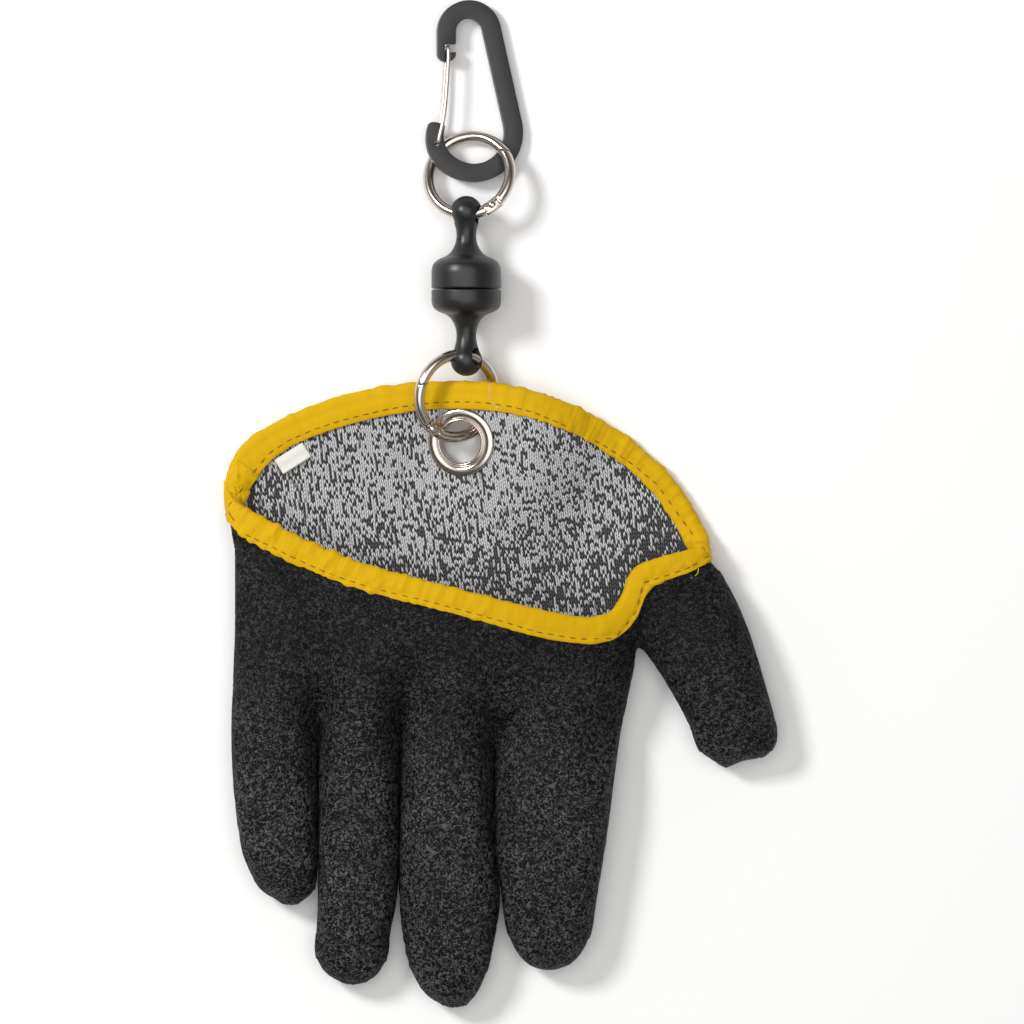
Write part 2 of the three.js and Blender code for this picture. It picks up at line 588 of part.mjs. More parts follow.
function addRing(group, name, hinge, mouth) {
  const reach = 1.35 * ringWire; // the fork reaches this far past the pin each way
  const turn = (length) => length / ringRadius;
  const way = Math.sign(mouth - hinge);
  const wire = (from, to) => wireGeometry(
    new Arc(ringRadius, Math.min(from, to), Math.max(from, to)),
    ringWire, ringSides, Math.ceil(Math.abs(to - from) / degrees(13)),
  );
  const pinPlace = new Arc(ringRadius, hinge, hinge).getPoint(0);
  const slab = (angleA, angleB, height) => {
    const [low, high] = [Math.min(angleA, angleB), Math.max(angleA, angleB)];
    const shape = new THREE.Shape();
    shape.absarc(0, 0, ringRadius + 2 * ringWire, low, high, false);
    shape.absarc(0, 0, ringRadius - 2 * ringWire, high, low, true);
    const settings = { depth: height, bevelEnabled: false, curveSegments: 4 };
    return new THREE.ExtrudeGeometry(shape, settings).translate(0, 0, -height / 2);
  };
  const tongue = ringWire - ringEar - clearance; // half its thickness
  const forkFrom = hinge - way * turn(reach);
  const forkTo = hinge + way * turn(reach);
  const pin = new THREE.CylinderGeometry(ringPin, ringPin, 2 * ringWire - 0.4, 10)
    .rotateX(Math.PI / 2).translate(pinPlace.x, pinPlace.y, 0);
  const bore = new THREE.CylinderGeometry(ringPin + clearance, ringPin + clearance, 4 * ringWire, 12)
    .rotateX(Math.PI / 2).translate(pinPlace.x, pinPlace.y, 0);
  // The mouth is square to the line from the pin, so that the gate swings in past it
  const mouthPlace = new Arc(ringRadius, mouth, mouth).getPoint(0);
  const reachLine = mouthPlace.clone().sub(pinPlace);
  const spare = way * turn(2 * ringWire);
  const block = (middle) => new THREE.BoxGeometry(4 * ringWire, 6 * ringWire, 4 * ringWire)
    .translate(middle, 0, 0).rotateZ(Math.atan2(reachLine.y, reachLine.x))
    .translate(mouthPlace.x, mouthPlace.y, 0);
  const body = cut(
    wire(forkTo, mouth - spare - way * 2 * Math.PI),
    slab(forkFrom - way * turn(clearance), forkTo + way * turn(1), 2 * (tongue + clearance)),
    block(clearance - 2 * ringWire),
  );
  const gate = cut(
    wire(forkFrom, mouth + spare),
    block(2 * ringWire),
    ...[1, -1].map((s) => slab(forkFrom - way * turn(1), forkTo + way * turn(clearance), 2 * ringWire)
      .translate(0, 0, s * (ringWire + tongue))),
    bore,
  );
  group.add(piece(`${name}_body`, fuse(body, pin), nickel), piece(`${name}_gate`, gate, nickel));
}

// Turns a flat ring or plate so that it rises by slopeX along X and slopeY along Y
function tilt(group, slopeX, slopeY) {
  const normal = new THREE.Vector3(-slopeX, -slopeY, 1).normalize();
  group.quaternion.setFromUnitVectors(new THREE.Vector3(0, 0, 1), normal);
}

// Places along the chain, in the glove's own frame: each piece lies from the one before it, and
// hang is how far the wire lies from the middle of the hole that it passes through
const hang = { eyelet: 1.138, lower: -1.1, upper: -0.75, clip: 0.7 };
const sidestep = { lowerRing: -1.52, release: 2.7, upperRing: 0.85, clip: 1 };
const rise = { lowerRing: 2.75, release: 0.1, upperRing: -3.4, clip: -2.7 };
const toBore = (length) => clearance / 2 + length - ballRadius - boreShift; // from the split
const lowerRing = {
  x: eyeletCentre.x + sidestep.lowerRing,
  y: eyeletCentre.y + ringRadius + hang.eyelet,
  z: eyeletHeight + rise.lowerRing,
  slopeX: -0.51,
  slopeY: 0.193,
};
const release = {
  x: lowerRing.x + sidestep.release,
  split: lowerRing.y + ringRadius + hang.lower + toBore(lowerLength),
  z: discRadius + rise.release,
};
const upperRing = {
  x: release.x + sidestep.upperRing,
  y: release.split + toBore(upperLength) + ringRadius + hang.upper,
  z: release.z + rise.upperRing,
  slopeX: 0.23,
  slopeY: -0.35,
};
const clip = {
  x: upperRing.x + sidestep.clip,
  y: upperRing.y + clipBowl + hang.clip,
  z: upperRing.z + rise.clip,
  slopeX: -0.175,
  slopeY: -0.03,
};

const lowerRingGroup = new THREE.Group();
lowerRingGroup.position.set(lowerRing.x, lowerRing.y, lowerRing.z);
tilt(lowerRingGroup, lowerRing.slopeX, lowerRing.slopeY);
addRing(lowerRingGroup, 'lower_ring', degrees(230), degrees(160));

const upperRingGroup = new THREE.Group();
upperRingGroup.position.set(upperRing.x, upperRing.y, upperRing.z);
tilt(upperRingGroup, upperRing.slopeX, upperRing.slopeY);
addRing(upperRingGroup, 'upper_ring', degrees(-53), degrees(34.5));

// Release: two turned halves, each a disc, a neck and a ball with a hole for the ring
const discEdge = 0.5; // bevel
const neckFlare = 0.35; // where the neck meets the ball
const taper = 0.9; // of the shoulder, half way along it
const waist = { inset: 1.6, down: 1, flare: 0.5, end: 2.4 }; // from the shoulder to the neck
const ballSteps = 6;

function releaseHalf(length, discLength, shoulderLength) {
  const ballCentre = length - ballRadius;
  const start = Math.asin((neckRadius + neckFlare) / ballRadius);
  const ball = span(0, ballSteps).map((i) => {
    const angle = start + ((Math.PI - start) * i) / ballSteps;
    return [i === ballSteps ? 0 : ballRadius * Math.sin(angle), ballCentre - ballRadius * Math.cos(angle)];
  });
  const shoulder = discLength + shoulderLength;
  const profile = [
    [0, 0], [discRadius - discEdge, 0], [discRadius, discEdge], [discRadius, discLength - discEdge],
    [discRadius - discEdge, discLength], [shoulderRadius + taper, discLength + shoulderLength * 0.55],
    [shoulderRadius, shoulder], [shoulderRadius - waist.inset, shoulder + waist.down],
    [neckRadius + waist.flare, shoulder + waist.end],
    [neckRadius, (ball[0][1] + shoulder + waist.down) / 2],
    ...ball,
  ];
  const turned = new THREE.LatheGeometry(profile.map(([r, y]) => new THREE.Vector2(r, y)), 18);
  const hole = new THREE.CylinderGeometry(ballBore, ballBore, 3 * ballRadius, 16)
    .rotateZ(Math.PI / 2).translate(0, ballCentre - boreShift, 0);
  return cut(turned, hole);
}

function addRelease(name, side, length, discLength, shoulderLength, slopeX) {
  const half = piece(name, releaseHalf(length, discLength, shoulderLength), blackPlastic);
  half.position.set(release.x, release.split + (side * clearance) / 2, release.z);
  half.rotation.set(side < 0 ? Math.PI : 0, -Math.atan(slopeX), 0);
  return half;
}
const releaseUpper = addRelease('release_upper', 1, upperLength, upperDisc, upperShoulder, upperRing.slopeX);
const releaseLower = addRelease('release_lower', -1, lowerLength, lowerDisc, lowerShoulder, -lowerRing.slopeX);

// Clip: a flat plate bent into two unequal bowls, with a wire gate from the nose to the heel
const gatePivot = new THREE.Vector2(-pivotAcross, -pivotDown);
const gateBar = new THREE.Vector2(-clipLean - clipCrown + gateSet, clipReach - gateDrop);
const notchSlack = 1.2; // extra length of the notch, towards the nose's end
const clipBevel = 0.45;

function clipPath() {
  const crown = new THREE.Vector2(-clipLean, clipReach);
  const distance = crown.length();
  const lean = Math.atan2(crown.y, crown.x);
  const side = lean - Math.acos((clipBowl - clipCrown) / distance); // where the spine meets both
  const path = new THREE.Path();
  path.absarc(0, 0, clipBowl, degrees(174), 2 * Math.PI + side, false);
  path.absarc(crown.x, crown.y, clipCrown, side, Math.PI, false);
  path.lineTo(crown.x - clipCrown, crown.y - clipNose);
  return path;
}

function clipBodyGeometry() {
  const path = clipPath();
  const steps = 34;
  const middle = span(0, steps).map((i) => path.getPointAt(i / steps));
  const across = span(0, steps).map((i) => {
    const tangent = path.getTangentAt(Math.min(Math.max(i / steps, 0.001), 0.999));
    return new THREE.Vector2(tangent.y, -tangent.x).multiplyScalar(clipBand / 2);
  });
  const outline = [
    ...middle.map((p, i) => p.clone().add(across[i])),
    ...middle.map((p, i) => p.clone().sub(across[i])).reverse(),
  ];
  const plate = new THREE.ExtrudeGeometry(new THREE.Shape(outline), {
    depth: clipPlate - 2 * clipBevel,
    bevelThickness: clipBevel,
    bevelSize: clipBevel,
    bevelOffset: -clipBevel,
    bevelSegments: 1,
  }).translate(0, 0, clipBevel - clipPlate / 2);
  const gateBore = gateWire + clearance;
  const pivotHole = new THREE.CylinderGeometry(gateBore, gateBore, 2 * clipPlate, 12)
    .rotateX(Math.PI / 2).translate(gatePivot.x, gatePivot.y, 0);
  const notch = new THREE.BoxGeometry(clipBand, 2 * gateBore + notchSlack, 2 * clipPlate)
    .translate(gateBar.x + clipBand / 2 - gateBore, gateBar.y - notchSlack / 2, 0);
  return cut(plate, pivotHole, notch);
}

function clipGateGeometry() {
  const face = clipPlate / 2 + clearance + gateWire;
  const end = 0.5; // each bent end stops this far from the plate's middle
  const strand = (side) => [
    [gatePivot.x, gatePivot.y, side * end],
    [gatePivot.x, gatePivot.y, side * (face - 0.7)],
    [gatePivot.x + 0.15, gatePivot.y + 0.7, side * face],
    [gatePivot.x + 1.8, gatePivot.y + 7.3, side * face],
    [gateBar.x - 0.1, gateBar.y - 12, side * face],
    [gateBar.x, gateBar.y - 1.3, side * face],
    [gateBar.x, gateBar.y - 0.1, side * (face - 0.6)],
  ];
  const points = [...strand(1), [gateBar.x, gateBar.y, 0], ...strand(-1).reverse()];
  const curve = new THREE.CatmullRomCurve3(points.map((p) => new THREE.Vector3(...p)), false, 'centripetal');
  return wireGeometry(curve, gateWire, 6, 40);
}

const clipGroup = new THREE.Group();
clipGroup.position.set(clip.x, clip.y, clip.z);
tilt(clipGroup, clip.slopeX, clip.slopeY);
clipGroup.add(
  piece('clip_body', clipBodyGeometry(), blackAnodised),
  piece('clip_gate', clipGateGeometry(), nickel),
);

const glove = new THREE.Group();
glove.add(
  piece('latex_coating', clothShell(0, -coatWall), latex),
  piece('knit_liner', clothShell(-coatWall - clothGap, -wall), knit),
  piece('cuff_binding', tapeGeometry(), tape),
  piece('size_label', labelGeometry(), label),
  eyeletGroup, lowerRingGroup, releaseLower, releaseUpper, upperRingGroup, clipGroup,
);

// The origin is under the middle of the whole, on the surface that it lies on
const model = new THREE.Group();
model.add(glove);
model.updateMatrixWorld(true);
const extent = new THREE.Box3().setFromObject(model, true);
const middle = extent.getCenter(new THREE.Vector3());
glove.position.set(-middle.x, -middle.y, -extent.min.z);

export default model;
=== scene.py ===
"""Fishing glove with a magnetic release: the visual model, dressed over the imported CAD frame."""

import math

import bmesh
import bpy
from mathutils import Matrix, Vector, noise
from mathutils.bvhtree import BVHTree


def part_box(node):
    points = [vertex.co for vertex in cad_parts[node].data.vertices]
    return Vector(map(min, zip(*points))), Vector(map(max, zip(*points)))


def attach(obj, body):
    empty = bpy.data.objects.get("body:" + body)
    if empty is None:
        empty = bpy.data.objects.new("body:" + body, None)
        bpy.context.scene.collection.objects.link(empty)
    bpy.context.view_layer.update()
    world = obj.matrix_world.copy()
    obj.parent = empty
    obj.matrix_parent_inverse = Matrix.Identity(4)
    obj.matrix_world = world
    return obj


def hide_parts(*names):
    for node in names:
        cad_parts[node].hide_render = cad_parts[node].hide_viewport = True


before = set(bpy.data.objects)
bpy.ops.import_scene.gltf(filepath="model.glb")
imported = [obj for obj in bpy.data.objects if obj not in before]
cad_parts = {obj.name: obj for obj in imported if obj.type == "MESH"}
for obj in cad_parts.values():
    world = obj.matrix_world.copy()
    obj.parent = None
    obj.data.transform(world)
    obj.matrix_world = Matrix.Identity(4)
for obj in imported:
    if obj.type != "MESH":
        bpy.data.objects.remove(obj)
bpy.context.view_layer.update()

bl_info = {
    "name": "Fishing glove with magnetic release",
    "version": (1, 0, 0),
    "blender": (4, 5, 0),
    "location": "View3D > Sidebar > Glove",
    "description": "Dresses the glove's frame with cloth, stitching, metal fittings and a studio",
    "category": "Object",
}

MM = 0.001
UP = Vector((0, 0, 1))


def linear(hex_colour):
    """An sRGB hex colour as the linear colour that Blender's sockets take."""
    parts = [int(hex_colour[i:i + 2], 16) / 255 for i in (1, 3, 5)]
    return tuple(c / 12.92 if c <= 0.04045 else ((c + 0.055) / 1.055) ** 2.4 for c in parts) + (1.0,)


def size_of(name, description, default, unit="LENGTH", low=0.0):
    """A size that a user can change. A length is given in millimetres and kept in metres."""
    scale = MM if unit == "LENGTH" else 1
    return bpy.props.FloatProperty(
        name=name, description=description, default=default * scale, min=low, precision=5, unit=unit
    )


def colour_of(name, description, hex_colour):
    """A colour that a user can change."""
    return bpy.props.FloatVectorProperty(
        name=name, description=description, size=4, min=0.0, max=1.0, subtype="COLOR",
        default=linear(hex_colour),
    )


class ClothSettings(bpy.types.PropertyGroup):
    """Sizes and colours of the glove's cloth"""

    crinkle: size_of("Crinkle", "Height of the latex's crinkled relief", 0.3)
    crinkle_width: size_of("Crinkle width", "From one ridge of the latex to the next", 1.4)
    wale: size_of("Wale", "Width of one column of knit stitches", 1.25)
    course: size_of("Course", "Height of one row of knit stitches", 1.15)
    pucker: size_of("Pucker", "Height of the folds across the cuff's tape", 0.9)
    pucker_width: size_of("Pucker width", "From one fold of the tape to the next", 2.8)
    stitch: size_of("Stitch", "Length of one stitch in the tape", 1.9)
    stitch_pitch: size_of("Stitch pitch", "From one stitch to the next", 3.15)
    stitch_inset: size_of("Stitch inset", "From the tape's edge to the line of stitches", 1.9)
    thread: size_of("Thread", "Radius of the sewing thread", 0.17)
    latex_colour: colour_of("Latex", "Colour of the coating", "#323232")
    yarn_colour: colour_of("Light yarn", "Colour of the knit's light yarn", "#D6D6D9")
    dark_yarn_colour: colour_of("Dark yarn", "Colour of the knit's dark yarn", "#17181A")
    tape_colour: colour_of("Tape", "Colour of the tape on the cuff", "#DAAD08")
    thread_colour: colour_of("Thread", "Colour of the stitches", "#7E5E10")
    tail_colour: colour_of("Loose thread", "Colour of the loose threads at the join", "#E3BBA2")


class FittingSettings(bpy.types.PropertyGroup):
    """Sizes and colours of the metal and plastic fittings"""

    ring_radius: size_of("Ring radius", "To the middle of a spring ring's wire", 12.1)
    ring_wire: size_of("Ring wire", "Radius of a spring ring's wire", 1.6)
    clearance: size_of("Clearance", "Between two pieces that move", 0.3)
    eyelet_bore: size_of("Eyelet bore", "Radius of the eyelet's hole", 6.1)
    clip_band: size_of("Clip band", "Width of the clip's plate round its outline", 5.3)
    clip_plate: size_of("Clip plate", "Thickness of the clip's plate", 2.8)
    gate_wire: size_of("Gate wire", "Radius of the clip's wire gate", 0.58)
    nickel_colour: colour_of("Nickel", "Colour of the plated rings and eyelet", "#D2C7BE")
    release_colour: colour_of("Release", "Colour of the magnetic release", "#1C1C1C")
    clip_colour: colour_of("Clip", "Colour of the clip's plate", "#28292B")


class StudioSettings(bpy.types.PropertyGroup):
    """The floor, the light and the camera"""

    floor_colour: colour_of("Floor", "Colour of the floor", "#FFFFFF")
    picture: size_of("Picture", "Width of what the camera sees on the floor", 296.96)
    aim_x: size_of("Aim X", "Middle of the picture along X", 4.1, low=-1)
    aim_y: size_of("Aim Y", "Middle of the picture along Y", -2.7, low=-1)
    height: size_of("Height", "Height of the camera", 3000)
    world: size_of("World", "Strength of the light from all round", 0.9, "NONE")
    key: size_of("Key", "Power of the large soft light", 12.0, "POWER")
    fill: size_of("Fill", "Power of the fill light", 0.5, "POWER")


# Places that the frame gives

release_low = [Vector(v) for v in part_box("release_lower")]
release_high = [Vector(v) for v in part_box("release_upper")]
SPLIT = Vector((
    (release_high[0].x + release_high[1].x) / 2,
    (release_low[1].y + release_high[0].y) / 2,
    (release_high[0].z + release_high[1].z) / 2,
))
# The chain's places are given from the glove's own origin, which lies here
GLOVE = Vector((SPLIT.x - 9.3 * MM, SPLIT.y - 101.6 * MM, 0))


def seat(x, y, z, slope_x, slope_y):
    """A flat piece's place, in mm from the glove's origin, and how steeply it rises along X and Y."""
    normal = Vector((-slope_x, -slope_y, 1)).normalized()
    turn = UP.rotation_difference(normal).to_matrix().to_4x4()
    return Matrix.Translation(GLOVE + Vector((x, y, z)) * MM) @ turn


LOWER_RING = seat(6.6, 70.75, 9.01, -0.51, 0.193)
UPPER_RING = seat(10.15, 134.6, 6.8, 0.23, -0.35)
EYELET = seat(8.12, 57.512, 6.26, 0.28, 0.1)
CLIP = seat(11.15, 147.2, 3.98, -0.175, -0.03)
RELEASE_TURN = {"upper": -math.atan(0.23), "lower": -math.atan(0.51)}

# The cuff's rim and hem, all round, from the left turn along the near side: x, y, z in mm
RIM = [
    (-76.4, -1.2, 11.4), (-72, -3.6, 13.4), (-65.3, -7.4, 15.6), (-58.1, -11.2, 17.2), (-50.8, -14.7, 18.7),
    (-43.6, -17.7, 20.2), (-36.4, -20.2, 21.5), (-29.3, -22.1, 22.5), (-22.6, -23.7, 23.2),
    (-16.5, -25.3, 23.6), (-10.4, -26.9, 23.9), (-4.2, -28.6, 24), (2.6, -30.4, 23.9), (12.7, -32.8, 23.2),
    (24.4, -35.3, 21.9), (33.2, -34.4, 19.6), (37.3, -28, 16.9), (39.6, -20.3, 15.7), (45.8, -17.7, 15.2),
    (52.4, -15.9, 14), (58.7, -14.5, 11.3), (60.8, -12.6, 7.2), (59.3, -8.3, 3.2), (54.6, -1, 2.1),
    (48.6, 6.9, 1.6), (41.5, 13.5, 1.5), (33.8, 19.3, 1.6), (26.1, 23.9, 4.1), (18.5, 27.4, 8.2),
    (11.3, 30.1, 10.3), (4.2, 32, 10.3), (-3, 33.1, 8.6), (-10.3, 33.4, 6.6), (-17.5, 33.3, 4.6),
    (-24.7, 32.7, 2.5), (-32.1, 31.9, 1.6), (-39.6, 30.6, 1.6), (-47.5, 28.4, 1.6), (-55.1, 25.6, 1.6),
    (-62.2, 22.4, 1.6), (-68.5, 18.9, 1.6), (-72.9, 15.2, 1.6), (-76.7, 11.6, 1.6), (-79.1, 3.6, 6.4),
]
HEM = [
    (-77, -6.2, 12.7), (-72.9, -11.1, 14.7), (-66.8, -14, 16.7), (-59.7, -17.5, 18.2), (-52.3, -20.9, 19.6),
    (-45.1, -23.7, 20.9), (-37.8, -26, 22.1), (-30.6, -27.9, 22.9), (-23.6, -29.5, 23.5), (-17.5, -31, 24),
    (-11.4, -32.6, 24.3), (-5.2, -34.3, 24.4), (1.6, -36.2, 24.3), (10.6, -39, 23.5), (22.8, -41.1, 22.3),
    (33.8, -41, 19.6), (40.8, -33.3, 16.2), (43.1, -24.6, 15.7), (49.2, -22.8, 15.2), (56.1, -20.4, 14),
    (60.5, -17.7, 11.3), (61.3, -17.3, 7.3), (57.9, -13.8, 3.2), (52.1, -6.2, 1.7), (44.5, 4.2, 1.6),
    (37.4, 10, 1.6), (30.3, 14.6, 2.2), (23.2, 18.5, 6.1), (16.4, 21.6, 9.7), (10.3, 24.1, 10.9),
    (4.1, 25.8, 9.9), (-3, 26.9, 8), (-10.3, 27.3, 6), (-17.5, 27.1, 4), (-24.7, 26.4, 1.9),
    (-31.4, 25.2, 1.6), (-38.1, 23.7, 1.6), (-45.3, 21.8, 1.6), (-52.3, 19.5, 1.6), (-58.9, 16.7, 1.6),
    (-64.8, 13.1, 1.6), (-69.3, 8, 1.7), (-73.2, 2.4, 1.7), (-78.1, -3.5, 7.3),
]


# Nodes and materials

def add(tree, kind, inputs=(), output=0, **settings):
    """One shader node's output. Each input is a value or an output, by name or in the node's own order."""
    made = tree.nodes.new(kind)
    for name, value in settings.items():
        setattr(made, name, value)
    for name, value in inputs.items() if isinstance(inputs, dict) else enumerate(inputs):
        if isinstance(value, bpy.types.NodeSocket):
            tree.links.new(value, made.inputs[name])
        else:
            made.inputs[name].default_value = value
    return made.outputs[output]


def new_material(name, **sockets):
    """A material with its Principled shader's own sockets set, and where a point lies on the piece."""
    material = bpy.data.materials.new(name)
    material.use_nodes = True
    tree = material.node_tree
    shader = tree.nodes["Principled BSDF"].inputs
    for socket, value in sockets.items():
        shader[socket.replace("_", " ")].default_value = value
    return tree, shader, add(tree, "ShaderNodeTexCoord", output="Object")


def finish_named(make, name, *details):
    """A finish that several pieces share, made once."""
    if name not in bpy.data.materials:
        make(name, *details)
    return bpy.data.materials[name]


def every(size):
    """A pattern's scale, from the size of one of its marks in mm."""
    return 1 / (size * MM)


def shaded(colour, share):
    """A colour at a share of its brightness."""
    return [c * share for c in colour[:3]] + [1]


def crinkled_latex(name, cloth):
    """Natural latex, dipped and crinkled while wet: matt worm-like ridges, with painted shade in the creases
    and painted highlights on the ridges.
    """
    tree, shader, place = new_material(name, Roughness=0.62, IOR=1.52, Specular_IOR_Level=0.14)
    # Worms about 0.7 mm wide: they give the fine, wrinkled grain
    worms = add(tree, "ShaderNodeTexNoise", {
        "Vector": place, "Scale": 1.6 / cloth.crinkle_width, "Detail": 1.5, "Roughness": 0.6,
        "Distortion": 1.3,
    })
    crease = add(tree, "ShaderNodeMapRange", [worms, 0.45, 0.62, 0.0, 1.0], interpolation_type="SMOOTHSTEP")
    # Patches where the worms are paler: the worn, uneven dip
    lumps = add(tree, "ShaderNodeTexNoise", {"Vector": place, "Scale": every(11.1), "Detail": 3.0})
    pale = add(tree, "ShaderNodeMapRange", [lumps, 0.3, 0.7, 0.65, 1.15])
    # Painted shade: the palm, towards the cuff, is drawn darker than the fingers
    y = add(tree, "ShaderNodeSeparateXYZ", [place], output="Y")
    palm_shade = add(tree, "ShaderNodeMapRange", [y, -0.08, -0.04, 1.0, 0.45])
    depth = add(tree, "ShaderNodeMath", [crease, pale], operation="MULTIPLY")
    depth = add(tree, "ShaderNodeMath", [depth, palm_shade], operation="MULTIPLY")
    # Painted light: the ramp draws the creases near-black and the ridges pale, as shade and light would fall
    # on them
    shade = add(tree, "ShaderNodeValToRGB", [depth])
    for end, share in zip(shade.node.color_ramp.elements, (0.03, 3.0)):
        end.color = shaded(cloth.latex_colour, share)
    bump = add(tree, "ShaderNodeBump", {"Strength": 0.7, "Distance": 0.3 * MM, "Height": crease})
    tree.links.new(shade, shader["Base Color"])
    tree.links.new(bump, shader["Normal"])


def marled_knit(name, cloth):
    """Plain knit of light cut-resistant yarn plied with black: columns of slanting stitches, flecked."""
    tree, shader, place = new_material(name, Roughness=0.9, Sheen_Weight=0.25, Sheen_Roughness=0.5)
    parts = add(tree, "ShaderNodeSeparateXYZ", [place]).node.outputs
    known = {"x": parts["X"], "y": parts["Y"], "z": parts["Z"]}
    known["waver"] = add(tree, "ShaderNodeTexNoise", {"Vector": place, "Scale": every(8.333), "Detail": 1.0})
    known["patch"] = add(tree, "ShaderNodeTexNoise", {"Vector": place, "Scale": every(6.25), "Detail": 1.0})
    # The columns lean as the panel lies, and waver by half a stitch. Each row's stitches slant to both sides.
    sums = [
        ("rise", "MULTIPLY", "z", 0.8), ("down", "ADD", "y", "rise"), ("lean", "MULTIPLY", "down", 0.12),
        ("leant", "ADD", "x", "lean"), ("sway", "MULTIPLY", "waver", 1.1 * cloth.wale),
        ("across", "ADD", "leant", "sway"), ("column", "DIVIDE", "across", cloth.wale),
        ("part", "FRACT", "column"), ("off", "SUBTRACT", "part", 0.5), ("side", "ABSOLUTE", "off"),
        ("rows", "DIVIDE", "down", cloth.course), ("row", "ADD", "rows", "waver"),
        ("slant", "MULTIPLY", "side", 1.5), ("slanted", "ADD", "row", "slant"), ("turn", "FRACT", "slanted"),
        ("arc", "MULTIPLY", "turn", math.pi), ("loop", "SINE", "arc"), ("loop_rise", "POWER", "loop", 0.5),
        ("swing", "MULTIPLY", "side", 2 * math.pi), ("leg", "SINE", "swing"),
        ("leg_rise", "POWER", "leg", 0.75),
        ("height", "MULTIPLY", "loop_rise", "leg_rise"), ("legs", "MULTIPLY", "column", 2.0),
        ("cell_x", "FLOOR", "legs"), ("cell_y", "FLOOR", "slanted"), ("tint", "MULTIPLY", "patch", 0.2),
    ]
    for result, operation, *inputs in sums:
        inputs = [known.get(item, item) for item in inputs]
        known[result] = add(tree, "ShaderNodeMath", inputs, operation=operation)
    cell = add(tree, "ShaderNodeCombineXYZ", [known["cell_x"], known["cell_y"]])
    chance = add(tree, "ShaderNodeTexWhiteNoise", {"Vector": cell}, noise_dimensions="2D")
    black = add(tree, "ShaderNodeMath", [chance, known["tint"]], operation="ADD")
    # Painted shade: more of the dark yarn is drawn at both ends of the cuff and under its near rim, where the
    # knit lies in shade: from, to, how much more
    painted_shade = [("x", 0.028, 0.052, 0.4), ("x", -0.052, -0.07, 0.22), ("y", 0.0, -0.025, 0.3)]
    for axis, start, full, more in painted_shade:
        drawn = add(tree, "ShaderNodeMapRange", [known[axis], start, full, 0.0, more])
        black = add(tree, "ShaderNodeMath", [black, drawn], operation="ADD")
    # The dark yarn's random flecks, with the painted shade above added in
    fleck_and_shade = add(tree, "ShaderNodeMapRange", [black, 0.74, 0.8, 0.0, 1.0])
    core = add(tree, "ShaderNodeMapRange", [known["height"], 0.25, 0.5, 0.45, 1.0])
    dark = add(tree, "ShaderNodeMath", [fleck_and_shade, core], operation="MULTIPLY")
    yarn = add(
        tree, "ShaderNodeMix", {"Factor": dark, "A": cloth.yarn_colour, "B": cloth.dark_yarn_colour},
        "Result", data_type="RGBA",
    )
    # Painted shade in the hollows between the loops: the yarn is drawn darker where the stitch relief is low
    hollow_shade = add(tree, "ShaderNodeMapRange", [known["height"], 0.05, 0.6, 0.16, 1.0])
    shaded_knit = add(
        tree, "ShaderNodeMix", {"Factor": 1.0, "A": yarn, "B": hollow_shade},
        "Result", data_type="RGBA", blend_type="MULTIPLY",
    )
    bump = add(tree, "ShaderNodeBump", {"Strength": 0.8, "Distance": 0.35 * MM, "Height": known["height"]})
    tree.links.new(shaded_knit, shader["Base Color"])
    tree.links.new(bump, shader["Normal"])


def woven_tape(name, cloth):
    """Polyester binding tape, folded and sewn: a smooth soft face with a fine weave and slight soiling."""
    tree, shader, place = new_material(name, Roughness=0.75, Specular_IOR_Level=0.15)
    mottle = add(tree, "ShaderNodeTexNoise", {"Vector": place, "Scale": every(16.667), "Detail": 3.0})
    shade = add(
        tree, "ShaderNodeMix",
        {"Factor": mottle, "A": shaded(cloth.tape_colour, 0.9), "B": cloth.tape_colour},
        "Result", data_type="RGBA",
    )
    # Short folds across the tape, 2.5 mm apart, where the sewing has gathered it
    run = add(tree, "ShaderNodeUVMap", uv_map="along")
    drawn = add(tree, "ShaderNodeMapping", {"Vector": run, "Scale": (38.0, 9.0, 1.0)})
    gathers = add(tree, "ShaderNodeTexNoise", {"Vector": drawn, "Scale": 1.0, "Detail": 2.0})
    depth = add(tree, "ShaderNodeAttribute", output="Fac", attribute_name="pucker")
    folds = add(tree, "ShaderNodeMath", [gathers, depth], operation="MULTIPLY")
    # Threads of 0.25 mm, drawn at about twice their real width so that they show
    threads = add(tree, "ShaderNodeTexNoise", {"Vector": place, "Scale": every(0.5556), "Detail": 1.0})
    fine = add(tree, "ShaderNodeMath", [threads, 0.03], operation="MULTIPLY")
    height = add(tree, "ShaderNodeMath", [folds, fine], operation="ADD")
    bump = add(tree, "ShaderNodeBump", {"Strength": 0.9, "Distance": 1.3 * MM, "Height": height})
    tree.links.new(shade, shader["Base Color"])
    tree.links.new(bump, shader["Normal"])


def sewing_thread(name, colour):
    """Spun polyester thread: fine twisted plies with a dull shine."""
    tree, shader, place = new_material(name, Roughness=0.7, Base_Color=colour)
    plies = add(tree, "ShaderNodeTexNoise", {"Vector": place, "Scale": every(0.4)})
    bump = add(tree, "ShaderNodeBump", {"Strength": 0.4, "Distance": 0.1 * MM, "Height": plies})
    tree.links.new(bump, shader["Normal"])


def satin_label(name):
    """Woven satin label tape: off-white, slightly shiny, with fine ribs across it."""
    tree, shader, place = new_material(name, Roughness=0.5, Base_Color=linear("#E6E3DE"))
    ribs = add(
        tree, "ShaderNodeTexWave", {"Vector": place, "Scale": every(1.111), "Distortion": 0.6}, "Fac"
    )
    bump = add(tree, "ShaderNodeBump", {"Strength": 0.3, "Distance": 0.05 * MM, "Height": ribs})
    tree.links.new(bump, shader["Normal"])


